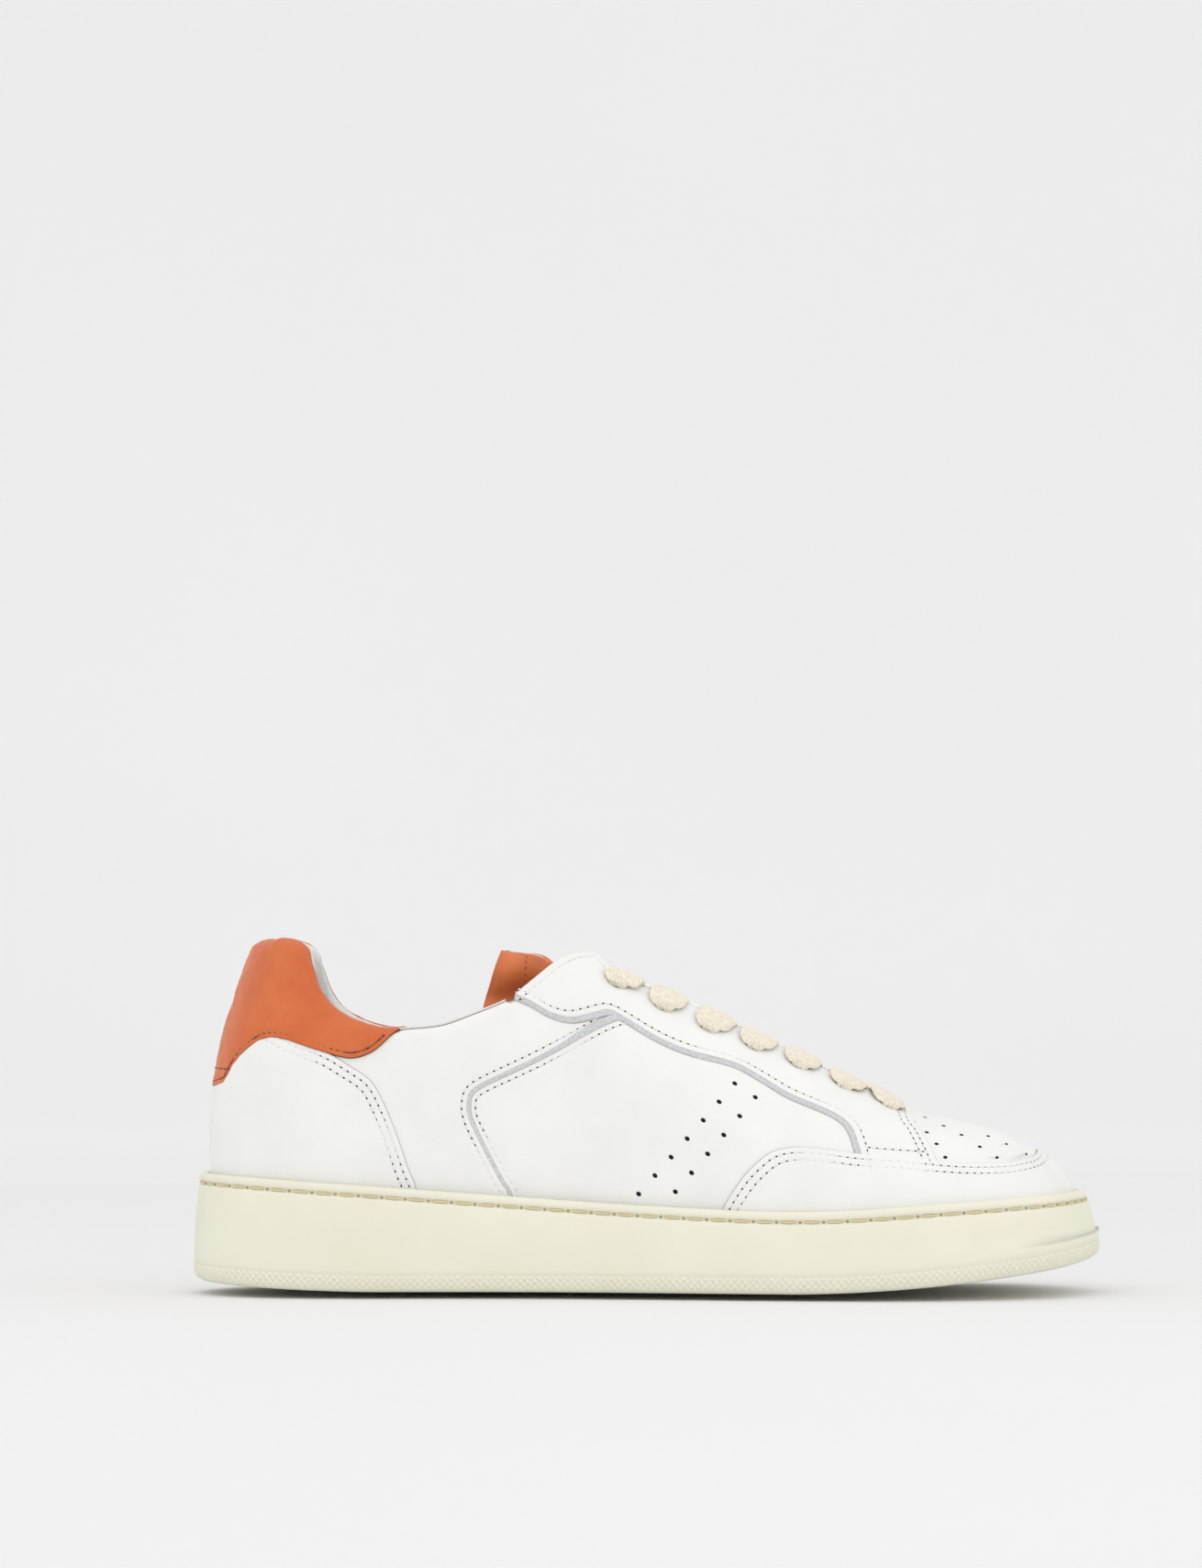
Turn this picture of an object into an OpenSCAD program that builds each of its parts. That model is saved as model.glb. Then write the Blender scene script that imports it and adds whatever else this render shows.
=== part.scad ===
// Low court shoe, right foot.  +X points to the toe, +Z up, -Y is the outer (lateral) side.
// The origin is on the ground under the middle of the outsole.

/* [Sole] */
// Overall length of the outsole
sole_length = 292; // [285:1:298]
// Thickness of the rubber floor of the cupsole
floor_thickness = 7; // [5:0.5:8]
// Depth from the top lip down to the insole board
board_depth = 12; // [11:0.5:13]
// Height of the toe spring at the tip
toe_spring = 9.9; // [7:0.1:11]
// Pitch of the sidewall stitches
stitch_pitch = 7.4; // [6:0.2:10]

/* [Upper] */
// Thickness of the shell leather
leather = 0.9; // [0.7:0.1:1.0]
// Thickness of the lining
lining = 0.6; // [0.4:0.1:0.8]
// Thickness of the collar foam at the ankle
collar_foam = 3.6; // [2:0.2:4]
// Thickness of the tongue foam
tongue_foam = 3.4; // [2:0.2:4]

/* [Lacing] */
// Number of eyelet rows
eyelet_rows = 7; // [7:1:7]
// Width of the flat lace where it lies open
lace_width = 10; // [6:0.5:10.5]
// Thickness of the flat lace
lace_thickness = 1.3; // [1:0.1:1.4]

/* [Hidden] */

// ---- colours ----
leather_white = [0.95, 0.95, 0.94];
leather_tan = [0.85, 0.47, 0.27];
rubber_cream = [0.94, 0.93, 0.85];
suede_grey = [0.75, 0.75, 0.75];
cotton_cream = [0.93, 0.88, 0.79];

// ---- stations round the shoe ----
// The shoe is lofted round a closed loop.  u = 0 is the middle of the heel, u rises along the
// outer side to u = 12 at the toe, and comes back along the inner side to u = 24.
// Each row is one station of the outer side and its twin on the inner side:
// [x of the sole's edge, half width outside, half width inside]
loop_end = 24;
toe_u = 12;
x_scale = sole_length / 292;
sole_stations = [
    [-146, 0, 0], [-139.5, 22, 22], [-121, 35.5, 35.5], [-95, 39.3, 38.2], [-65, 38.6, 35.6],
    [-35, 39.5, 33.6], [-5, 43.5, 35.6], [25, 49, 42], [55, 53.2, 49.5], [83, 54, 54],
    [110, 48.5, 51.5], [132.5, 33.5, 39.5], [146, -3.5, 3.5]];
// Top rail that every section runs up to: a ring round the ankle, then the ridge of the instep.
// [x, half width, z]
top_stations = [
    [-105, 0, 150], [-103, 9, 150], [-98, 17, 150], [-86, 21.5, 150], [-62, 20, 150],
    [-41, 0, 141], [-19, 0, 111], [12, 0, 96.5], [46, 0, 78.5], [80, 0, 59.6],
    [94, 0, 55.2], [102, 0, 53.2], [106, 0, 51.8]];
// How each section bulges: [out and up at the bottom, out and up at the top]
bulge_stations = [
    [5.9, 36, 33, -50], [6.0, 36, 28, -50], [5.0, 36, 20, -50], [4.4, 36, 10, -50], [4.6, 34, 8, -46],
    [4.9, 34, 27, -27], [5.2, 34, 38, 1.5], [5.6, 30, 36, 1], [5.8, 25, 38, 0.6], [5.8, 20, 36, 0.5],
    [5.5, 17, 31, 0.6], [4.8, 17, 25, -0.6], [4.6, 18.5, 18, -3.4]];

// ---- layers of the upper, as depths below its outer face ----
gap = 0.3;
depth_shell = 0;
depth_edging = depth_shell + leather + 2 * gap;
edging = 0.4;
edging_slack = 0.1;
depth_rear = depth_edging + edging + gap;
depth_strip = depth_rear + leather + gap;
depth_quarter = depth_strip + edging + gap;
depth_stiffener = depth_quarter + leather + gap;
stiffener = 0.8;
depth_lining = depth_stiffener + stiffener + gap;
depth_toe_box = depth_edging;
depth_puff = depth_toe_box + leather + gap;
depth_vamp_lining = depth_puff + stiffener + 3 * gap;
depth_tongue = 9.9;
tape = 1;

// ---- heights of the sole ----
// height of the lip at every lip_step along the sole, from x = lip_start
lip_start = -150;
lip_step = 50;
lip_heights = [37.1, 34.2, 30.6, 27.4, 25.8, 28.8, 31.5];
heel_rise = 2.6;
lip_inset = 4.5;
feather_inset = 6.2;
foot_rise = 0.6;

// ---- curves ----
function mix(a, b, t) = a + (b - a) * t;
function clamp(x, low, high) = min(max(x, low), high);
function ease(t) = let (c = clamp(t, 0, 1)) c * c * (3 - 2 * c);
function spline(a, b, c, d, t) =
    0.5 * (2 * b + (c - a) * t + (2 * a - 5 * b + 4 * c - d) * t * t + (3 * b - a - 3 * c + d) * t * t * t);
function along(points, t) =
    let (n = len(points) - 1, i = clamp(floor(t), 0, n - 1))
    spline(points[max(i - 1, 0)], points[i], points[i + 1], points[min(i + 2, n)], t - i);
function round_loop(points, u) =
    let (n = len(points), w = u + n, i = floor(w))
    spline(points[(i - 1) % n], points[i % n], points[(i + 1) % n], points[(i + 2) % n], w - i);
function bezier(p, t) =
    let (s = 1 - t)
    s * s * s * p[0] + 3 * s * s * t * p[1] + 3 * s * t * t * p[2] + t * t * t * p[3];
function reversed(list) = [for (i = [len(list) - 1 : -1 : 0]) list[i]];
function unit(v) = v / norm(v);

// ---- heights along the sole ----
function lip_z(x) = along(lip_heights, (x / x_scale - lip_start) / lip_step);
function ground_z(x) =
    let (s = x / x_scale)
    toe_spring * pow(max(s - 45, 0) / 101, 1.7) + heel_rise * pow(max(-85 - s, 0) / 61, 1.6);
function floor_z(x) = ground_z(x) + floor_thickness;
function board_z(x) = lip_z(x) - board_depth;

// ---- outline of the sole ----
function station_loop(outer, inner) = concat(outer, [for (i = [toe_u - 1 : -1 : 1]) inner[i]]);
edge_loop = station_loop(
    [for (s = sole_stations) [s[0] * x_scale, -s[1]]],
    [for (s = sole_stations) [s[0] * x_scale, s[2]]]);
function edge_out(u) =
    let (t = round_loop(edge_loop, u + 0.05) - round_loop(edge_loop, u - 0.05))
    unit([t[1], -t[0]]);
function edge(u, inset) = round_loop(edge_loop, u) - inset * edge_out(u);
// The wall leans back round the toe, and the foot of the upper goes some of the way with it.
toe_lean = 2.6;
foot_lean = 0.65;
function lean_at(u) = toe_lean * ease((edge(u, 0)[0] / x_scale - 95) / 50);

// ---- skin of the upper ----
function with_z(p, z) = [p[0], p[1], z];
function rail_end(side, i) =
    let (s = top_stations[i])
    [s[0] * x_scale, side * s[1], s[2]];
function section(i, side) =
    let (u = side < 0 ? i : loop_end - i,
         out = edge_out(u),
         foot = edge(u, feather_inset + foot_lean * lean_at(u)),
         b = bulge_stations[i],
         top = rail_end(side, i))
    [with_z(foot, board_z(foot[0]) + foot_rise),
     with_z(foot + b[0] * out, board_z(foot[0]) + b[1]),
     top + [b[2] * out[0], b[2] * out[1], b[3]],
     top];
sections = station_loop([for (i = [0 : toe_u]) section(i, -1)], [for (i = [0 : toe_u]) section(i, 1)]);
rails = [for (k = [0 : 3]) [for (s = sections) s[k]]];
function skin_point(u, v) = bezier([for (k = [0 : 3]) round_loop(rails[k], u)], v);
step = 0.02;
function skin_out(u, v) =
    let (on_ridge = v > 0.985,
         at_toe = abs(u - toe_u) < 0.3,
         du = on_ridge && at_toe ? [0, 1, 0] : skin_point(u + step, v) - skin_point(u - step, v),
         dv = on_ridge
            ? (at_toe ? skin_point(u, 1) : skin_point(loop_end - u, 0.96)) - skin_point(u, 0.96)
            : skin_point(u, v + step) - skin_point(u, v - step))
    unit(cross(du, dv));
function skin(u, v, depth) = skin_point(u, v) - depth * skin_out(u, v);

// Finds where on the outer side the skin has two given coordinates, by Newton's method.
function solve(i, j, a, b, u, v, n) =
    n == 0 ? [u, v] :
    let (p = skin_point(u, v),
         pu = (skin_point(u + step, v) - p) / step,
         pv = (skin_point(u, v + step) - p) / step,
         ea = a - p[i],
         eb = b - p[j],
         det = pu[i] * pv[j] - pv[i] * pu[j],
         du = clamp((ea * pv[j] - pv[i] * eb) / det, -0.5, 0.5),
         dv = clamp((pu[i] * eb - ea * pu[j]) / det, -0.2, 0.2))
    solve(i, j, a, b, clamp(u + du, 0, toe_u), clamp(v + dv, 0, 1), n - 1);
first_guess = [for (i = [0 : toe_u]) [sole_stations[i][0], i]];
// from the side: x and z.  from above: x and y.
function side_at(x, z) = solve(0, 2, x, z, lookup(x, first_guess), clamp((z - 15) / 110, 0.1, 0.8), 12);
function plan_at(x, y) = solve(0, 1, x, y, lookup(x + 5, first_guess), 0.8, 12);
function foot_at(x) = [solve(0, 2, x, board_z(x) + foot_rise, lookup(x, first_guess), 0.02, 8)[0], 0];

// ---- solids from grids of points ----
// A closed sheet between two grids.  skip lists the cells that are left open.  With zip, the last
// row folds onto itself, as where a hood closes at the toe.
function has_cell(i, j, ni, nj, skip) =
    i >= 0 && i < ni && j >= 0 && j < nj && len([for (s = skip) if (s == [i, j]) 1]) == 0;
function two_triangles(a, b, c, d) = [[a, b, c], [a, c, d]];
module sheet(outer, inner, skip = [], zip = false) {
    ni = len(outer) - 1;
    nj = len(outer[0]) - 1;
    half = (ni + 1) * (nj + 1);
    function o(i, j) = i * (nj + 1) + (zip && i == ni ? min(j, nj - j) : j);
    function n(i, j) = half + o(i, j);
    cells = [for (i = [0 : ni - 1]) for (j = [0 : nj - 1]) if (has_cell(i, j, ni, nj, skip)) [i, j]];
    faces = [for (c = cells) let (i = c[0], j = c[1]) each concat(
        two_triangles(o(i, j), o(i, j + 1), o(i + 1, j + 1), o(i + 1, j)),
        two_triangles(n(i, j), n(i + 1, j), n(i + 1, j + 1), n(i, j + 1)),
        has_cell(i - 1, j, ni, nj, skip) ? [] : two_triangles(o(i, j), n(i, j), n(i, j + 1), o(i, j + 1)),
        has_cell(i + 1, j, ni, nj, skip) || (zip && i == ni - 1) ? []
            : two_triangles(o(i + 1, j), o(i + 1, j + 1), n(i + 1, j + 1), n(i + 1, j)),
        has_cell(i, j - 1, ni, nj, skip) ? [] : two_triangles(o(i, j), o(i + 1, j), n(i + 1, j), n(i, j)),
        has_cell(i, j + 1, ni, nj, skip) ? []
            : two_triangles(o(i, j + 1), n(i, j + 1), n(i + 1, j + 1), o(i + 1, j + 1)))];
    polyhedron(concat([for (r = outer) each r], [for (r = inner) each r]),
        [for (f = faces) if (f[0] != f[1] && f[1] != f[2] && f[0] != f[2]) f], convexity = 8);
}

// ---- panels of the upper ----
// A panel is a list of ribs, each a pair of [u, v] points from its lower edge to its upper edge.
function rib_net(ribs, cols) = [for (i = [0 : cols * (len(ribs) - 1)]) along(ribs, i / cols)];
function net_grid(net, rows, depth) =
    [for (r = net) [for (j = [0 : rows]) let (q = mix(r[0], r[1], j / rows))
        skin(q[0], q[1], is_function(depth) ? depth(q[0], q[1]) : depth)]];
function twin(ribs) = reversed([for (r = ribs) [for (q = r) [loop_end - q[0], q[1]]]]);
function across_toe(ribs) = concat(ribs, [for (i = [1 : len(ribs) - 1]) twin(ribs)[i]]);
function across_heel(ribs) =
    concat([for (i = [len(ribs) - 1 : -1 : 1]) [for (q = ribs[i]) [-q[0], q[1]]]], ribs);
// The point a distance below q along its section, towards the sole.
function below(q, distance) =
    [q[0], q[1] - distance * 0.04 / norm(skin_point(q[0], q[1]) - skin_point(q[0], q[1] - 0.04))];
module panel(ribs, cols, rows, outer, inner) {
    net = rib_net(ribs, cols);
    sheet(net_grid(net, rows, outer), net_grid(net, rows, inner));
}
// A panel whose rows run from the outer side over the ridge to the inner side.
function over_row(r, m, depth) =
    [for (j = [-m : m]) let (q = mix(r[1], r[0], abs(j) / m), u = j <= 0 ? q[0] : loop_end - q[0])
        skin(u, q[1], depth)];
module hood(ribs, cols, m, outer, inner, zip = false) {
    net = rib_net(ribs, cols);
    sheet([for (r = net) over_row(r, m, outer)], [for (r = net) over_row(r, m, inner)], [], zip);
}

// ---- outlines of the panels, as seen from the outer side ----
mudguard_ribs = [
    [foot_at(19), side_at(21, 20)], [foot_at(26), side_at(26, 31)], [foot_at(32), side_at(34, 40.8)],
    [foot_at(41), side_at(43, 45.5)], [foot_at(53), side_at(54, 45.5)], [foot_at(68), side_at(68, 43.6)],
    [foot_at(84), side_at(84, 42.4)], [foot_at(99), side_at(99, 41)], [[10.6, 0], side_at(112, 40.7)],
    [[11.3, 0], side_at(120, 41.6)], [[12, 0], [12, 0.6]]];
toe_ribs = [
    [side_at(82, 38.5), [9.15, 1]], [side_at(89, 38.3), [9.55, 1]], [side_at(98, 37.3), [10.2, 1]],
    [side_at(110, 37), [10.8, 1]], [[11.35, 0.5], [11.4, 1]], [[12, 0.53], [12, 1]]];
patch_ribs = [
    [[0, 0.36], [0, 0.73]], [[0.3, 0.362], [0.3, 0.73]], [[0.62, 0.385], [0.65, 0.735]],
    [side_at(-131, 73), [1.0, 0.735]], [side_at(-125.2, 78.5), side_at(-121.5, 112.5)],
    [side_at(-119.7, 80.2), side_at(-116, 112.9)], [side_at(-112, 78.7), side_at(-111.5, 111)],
    [side_at(-104, 76.2), side_at(-108.3, 105)], [side_at(-94.6, 73.9), side_at(-101.5, 93)],
    [side_at(-88, 75.7), side_at(-92, 86)], [side_at(-83.5, 79), side_at(-85, 84.1)],
    [side_at(-80.8, 82.2), side_at(-79.6, 83.5)]];
heel_panel_ribs = [
    [[0, 0], [0, 0.352]], [[0.3, 0], [0.3, 0.354]], [[0.62, 0], [0.62, 0.377]],
    [[1.1, 0], side_at(-131, 72.3)], [[1.6, 0], side_at(-125, 77.8)], [[2, 0], side_at(-119.5, 79.5)],
    [foot_at(-112), side_at(-112, 78)], [foot_at(-104), side_at(-103.5, 75.4)],
    [foot_at(-96), side_at(-94.5, 71.3)], [foot_at(-88), side_at(-86.5, 64.5)],
    [foot_at(-81), side_at(-79.5, 49.5)], [foot_at(-76), side_at(-75.5, 38)],
    [foot_at(-72), side_at(-72.6, 28)]];
rear_ribs = [
    [[0.05, 0], [0.05, 0.70]], [[1, 0], [1, 0.705]], [foot_at(-120), side_at(-115, 109)],
    [foot_at(-104), side_at(-105, 97)], [foot_at(-88), side_at(-95, 86.4)], [foot_at(-70), side_at(-82, 83)],
    [foot_at(-46), side_at(-72, 83.4)], [side_at(-50, 40.5), side_at(-64, 84.6)],
    [side_at(-56.6, 54.3), side_at(-55, 88)], [side_at(-55.5, 64.1), side_at(-47, 91.5)],
    [side_at(-42.5, 70.8), side_at(-36, 92.5)], [side_at(-26, 79.3), side_at(-24, 92)],
    [side_at(-11, 86.4), side_at(-12, 91)]];
quarter_ribs = [
    [foot_at(-52), side_at(-62, 60)], [foot_at(-46), side_at(-58, 68)], [foot_at(-34), side_at(-42, 76.5)],
    [foot_at(-18), side_at(-24, 85)], [foot_at(-4), side_at(-8, 92)], [foot_at(12), side_at(8, 84.5)],
    [foot_at(28), side_at(26, 77)], [foot_at(44), side_at(42, 69.5)], [foot_at(58), side_at(58, 62)],
    [foot_at(68), side_at(66, 56)]];
// A band along a line seen from the side, reaching left and right of it.
function band_ribs(line, left, right) =
    let (n = len(line) - 1)
    [for (i = [0 : n])
        let (t = unit(line[min(i + 1, n)] - line[max(i - 1, 0)]), m = [-t[1], t[0]],
             a = line[i] - right * m, b = line[i] + left * m)
        [side_at(a[0], a[1]), side_at(b[0], b[1])]];
rear_front_line = [[-45.5, 31], [-50, 40.5], [-54.2, 48], [-56.6, 54.3], [-57.4, 59.5], [-55.8, 63.7], [-51, 66.8],
    [-42.5, 70.8], [-26, 79.3], [-12, 86]];

// ---- eyestay and eyelets ----
eyelet_pitch = 14.45;
first_eyelet_x = -10.5;
eyelet_half = 2.3;
eyelet_inset = 6.9;
// half width of the throat, from its top to where it closes
throat = [[-24, 18.5], [-17, 17.5], [5, 15.5], [36, 14], [66, 12], [76, 9.5]];
stay_low = [[-39.5, 92.2], [-33.8, 89.9], [-24.5, 86.8], [-13.4, 89], [-7.6, 87], [6.9, 79], [20, 74.5],
    [33, 69.8], [43.3, 63.4], [57.8, 57.3], [62.1, 54.4], [64.5, 51], [66.6, 45.8]];
function eyelet_x(k) = first_eyelet_x + eyelet_pitch * k;
function throat_at(x) = plan_at(x, -lookup(x, throat));
function stay_rib(x) = [side_at(x + 0.5, lookup(x, stay_low)), throat_at(x)];
eyelet_ribs = [for (k = [0 : eyelet_rows - 2]) for (s = [-1, 1]) stay_rib(eyelet_x(k) + s * eyelet_half)];
last_x = eyelet_x(eyelet_rows - 1);
stay_ribs = concat(
    [[side_at(-41, 93.7), side_at(-41.5, 94.5)], [side_at(-33.8, 90), side_at(-31, 102.3)],
     [side_at(-24.5, 86.9), side_at(-22.5, 106)]],
    eyelet_ribs,
    [[side_at(65, 49.5), throat_at(68)], [side_at(67, 44.4), throat_at(70.5)],
     [side_at(last_x - eyelet_half, 44.2), throat_at(last_x - eyelet_half)],
     [side_at(last_x + eyelet_half, 43.8), plan_at(last_x + eyelet_half, -7.5)],
     [side_at(85, 43.4), plan_at(81, -4)], [side_at(90, 42.9), plan_at(83, -0.6)]]);
// The row of eyelets keeps its distance from the throat, except where the eyestay is narrower.
function three_part(r) =
    let (width = norm(skin_point(r[0][0], r[0][1]) - skin_point(r[1][0], r[1][1])))
    [r[0], below(r[1], min(eyelet_inset + eyelet_half, 0.6 * width)),
     below(r[1], min(eyelet_inset - eyelet_half, 0.3 * width)), r[1]];
function stay_row(r, depth) =
    let (q = three_part(r),
         line = [mix(q[0], q[1], 0), mix(q[0], q[1], 0.33), mix(q[0], q[1], 0.67), q[1], q[2], q[3]])
    [for (p = line) skin(p[0], p[1], depth)];
eyelet_columns = [for (k = [0 : eyelet_rows - 1]) k < eyelet_rows - 1 ? 3 + 2 * k : 5 + 2 * k];
module eyestay(side) {
    ribs = side < 0 ? stay_ribs : twin(stay_ribs);
    last = len(ribs) - 2;
    holes = [for (c = eyelet_columns) [side < 0 ? c : last - c, 3]];
    sheet([for (r = ribs) stay_row(r, depth_shell)], [for (r = ribs) stay_row(r, depth_shell + leather)], holes);
}
tape_ribs = [for (i = [2 : len(stay_ribs) - 3]) stay_ribs[i]];
module eyelet_tape(side) {
    ribs = side < 0 ? tape_ribs : twin(tape_ribs);
    last = len(ribs) - 2;
    function row(r, depth) =
        [for (s = [eyelet_inset + eyelet_half + 2, eyelet_inset + eyelet_half, eyelet_inset - eyelet_half, 1.5])
            let (p = below(r[1], s)) skin(p[0], p[1], depth)];
    holes = [for (c = eyelet_columns) [side < 0 ? c - 2 : last - (c - 2), 1]];
    sheet([for (r = ribs) row(r, depth_edging)], [for (r = ribs) row(r, depth_edging + tape)], holes);
}

// ---- the sole ----
ring_points = 90;
// A ring of the sole: lean says how much of the toe's lean it takes.
function ring(inset, height, lean = 0) =
    [for (i = [0 : ring_points - 1])
        let (u = i * loop_end / ring_points, e = edge(u, inset + lean * lean_at(u))) with_z(e, height(e[0]))];
// A solid lofted through closed rings, from the lowest to the last, with both ends closed across.
module ring_loft(rings) {
    n = ring_points;
    last = (len(rings) - 1) * n;
    walls = [for (k = [0 : len(rings) - 2]) for (i = [0 : n - 1]) let (j = (i + 1) % n)
        each two_triangles(k * n + i, (k + 1) * n + i, (k + 1) * n + j, k * n + j)];
    caps = [for (i = [0 : n / 2 - 1]) let (a = i, b = i + 1, c = (n - i - 1) % n, d = (n - i) % n)
        each concat(two_triangles(a, b, c, d), two_triangles(last + a, last + d, last + c, last + b))];
    polyhedron([for (r = rings) each r],
        [for (f = concat(walls, caps)) if (f[0] != f[1] && f[1] != f[2] && f[0] != f[2]) f], convexity = 6);
}
function above_ground(h) = function(x) ground_z(x) + h;
function under_lip(h) = function(x) lip_z(x) - h;
module cupsole() {
    color(rubber_cream)
    ring_loft([
        ring(7, above_ground(0)), ring(3.2, above_ground(0.6)), ring(1, above_ground(2.6)),
        ring(0.2, above_ground(5.6)), ring(0, above_ground(9)), ring(1.5, under_lip(5.6), 0.6),
        ring(2.3, under_lip(5), 0.7), ring(2.3, under_lip(4), 0.8), ring(1.6, under_lip(3.4), 0.8),
        ring(1.8, under_lip(1), 1), ring(2.8, under_lip(0), 1), ring(lip_inset - 0.4, under_lip(0.1), 1),
        ring(lip_inset, under_lip(0.8), 1), ring(lip_inset, under_lip(5), 0.5),
        ring(lip_inset + 0.1, under_lip(board_depth)), ring(lip_inset + 0.3, above_ground(floor_thickness))]);
}
// All the stitches are separate closed bars in one mesh.
sole_perimeter = 814;
stitch_count = round(sole_perimeter * x_scale / stitch_pitch);
function stitch_bar(i) =
    let (u = (i + 0.5) * loop_end / stitch_count, half_u = 0.36 * loop_end / stitch_count,
         ends = [for (s = [-1, 1]) let (w = u + s * half_u, e = edge(w, 1.25 + 0.8 * lean_at(w))) with_z(e, lip_z(e[0]) - 4.5)],
         o = edge_out(u), out = [o[0], o[1], 0], up = [0, 0, 0.35])
    [for (p = ends) each [p - 0.6 * out - up, p - 0.6 * out + up, p + 0.1 * out + up, p + 0.1 * out - up]];
bar_faces = [[0, 1, 2], [0, 2, 3], [4, 6, 5], [4, 7, 6], [0, 4, 5], [0, 5, 1],
    [1, 5, 6], [1, 6, 2], [2, 6, 7], [2, 7, 3], [3, 7, 4], [3, 4, 0]];
module sole_stitching() {
    color("tan")
    polyhedron([for (i = [0 : stitch_count - 1]) each stitch_bar(i)],
        [for (i = [0 : stitch_count - 1]) for (f = bar_faces) [f[0] + 8 * i, f[1] + 8 * i, f[2] + 8 * i]]);
}
module midsole_filler() {
    color("whitesmoke")
    ring_loft([ring(lip_inset + 0.8, above_ground(floor_thickness + 0.2)), ring(lip_inset + 0.8, under_lip(board_depth + 0.2))]);
}
board_inset = feather_inset + depth_lining + lining + 0.5;
module insole_board() {
    color("tan")
    ring_loft([ring(board_inset, under_lip(board_depth - 0.1)), ring(board_inset, under_lip(board_depth - 1.9))]);
}
module footbed() {
    color("ivory")
    ring_loft([ring(board_inset + 1.6, under_lip(board_depth - 2.2)), ring(board_inset + 0.8, under_lip(board_depth - 4)),
        ring(board_inset + 0.8, under_lip(board_depth - 9)), ring(board_inset + 2.6, under_lip(board_depth - 9)),
        ring(board_inset + 8, under_lip(board_depth - 6.4))]);
}

// ---- the upper ----
module toe_box() { color(leather_white) hood(toe_ribs, 3, 8, depth_toe_box, depth_toe_box + leather, true); }
puff_ribs = [[side_at(102, 34), [10.6, 1]], [side_at(112, 33), [11, 1]], [[11.4, 0.4], [11.5, 1]], [[12, 0.42], [12, 1]]];
module toe_puff() { color("wheat") hood(puff_ribs, 2, 6, depth_puff, depth_puff + stiffener, true); }
vamp_lining_ribs = [[foot_at(80), [9.3, 1]], [foot_at(90), [9.7, 1]], [foot_at(102), [10.2, 1]],
    [[10.6, 0], [10.9, 1]], [[11.3, 0], [11.4, 1]], [[12, 0], [12, 1]]];
module vamp_lining() { color("ivory") hood(vamp_lining_ribs, 2, 9, depth_vamp_lining, depth_vamp_lining + lining, true); }
module mudguard() { color(leather_white) panel(across_toe(mudguard_ribs), 2, 5, depth_shell, depth_shell + leather); }
module side_panel(side, ribs, cols, rows, outer, inner) { panel(side < 0 ? ribs : twin(ribs), cols, rows, outer, inner); }
module quarter(side) { color(leather_white) side_panel(side, quarter_ribs, 3, 7, depth_quarter, depth_quarter + leather); }
module rear_quarter(side) { color(leather_white) side_panel(side, rear_ribs, 2, 7, depth_rear, depth_rear + leather); }
quarter_edge_ribs = band_ribs(rear_front_line, 3.5, 1.5);
module quarter_edging(side) {
    color(suede_grey) side_panel(side, quarter_edge_ribs, 2, 1, depth_strip, depth_strip + edging);
}
stay_edge_ribs = band_ribs(stay_low, 2.2, 2.2);
module eyestay_edging(side) {
    from = depth_edging + edging_slack;
    color(suede_grey) side_panel(side, stay_edge_ribs, 2, 1, from, from + edging);
}
module heel_panel() { color(leather_white) panel(across_heel(heel_panel_ribs), 2, 5, depth_shell, depth_shell + leather); }
module heel_collar_patch() { color(leather_tan) panel(across_heel(patch_ribs), 2, 5, depth_shell, depth_shell + leather); }
counter_ribs = [for (u = [0, 0.5, 1, 1.5, 2, 2.5, 3.1]) [[u, 0.02], [u, 0.40 - 0.05 * ease((u - 2) / 1.1)]]];
counter_depth = depth_rear + leather + 2 * gap;
module heel_counter() { color("wheat") panel(across_heel(counter_ribs), 2, 4, counter_depth, depth_lining - 2 * gap); }
// The foam swells the collar inwards above the stiffener, and fades out towards the throat.
function foam_at(u, v) =
    let (w = u < 0 ? -u : min(u, loop_end - u)) collar_foam * ease((v - 0.41) / 0.12) * ease((5.2 - w) / 1.2);
padding_depth = function(u, v) depth_lining - 2 * gap + 0.85 * foam_at(u, v);
lining_outer = function(u, v) depth_lining + foam_at(u, v);
lining_inner = function(u, v) depth_lining + foam_at(u, v) + lining;
collar_tops = [[0, 0.715], [0.6, 0.72], [1.1, 0.725], side_at(-119, 111.3), side_at(-112, 109), side_at(-108.6, 102),
    side_at(-104, 95), side_at(-98, 88), side_at(-89, 83.4), side_at(-78, 81.8), side_at(-66, 83.4), side_at(-56, 86.4)];
module collar_padding() {
    ribs = [for (q = collar_tops) [[q[0], 0.425], q]];
    color("khaki") panel(across_heel(ribs), 1, 4, counter_depth, padding_depth);
}
lining_ribs = concat(
    [for (i = [0 : len(collar_tops) - 1]) [[max(collar_tops[i][0], 0.04), 0.0], [max(collar_tops[i][0], 0.04), collar_tops[i][1]]]],
    [[foot_at(-40), side_at(-44, 88)], [foot_at(-26), side_at(-30, 88)], [foot_at(-8), side_at(-12, 85)],
     [foot_at(12), side_at(8, 76.5)], [foot_at(30), side_at(26, 69.5)], [foot_at(48), side_at(44, 61.5)],
     [foot_at(62), side_at(60, 53.5)], [foot_at(73), side_at(71, 48.5)]]);
module quarter_lining(side) {
    color("ivory") side_panel(side, lining_ribs, 1, 9, lining_outer, lining_inner);
}

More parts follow.
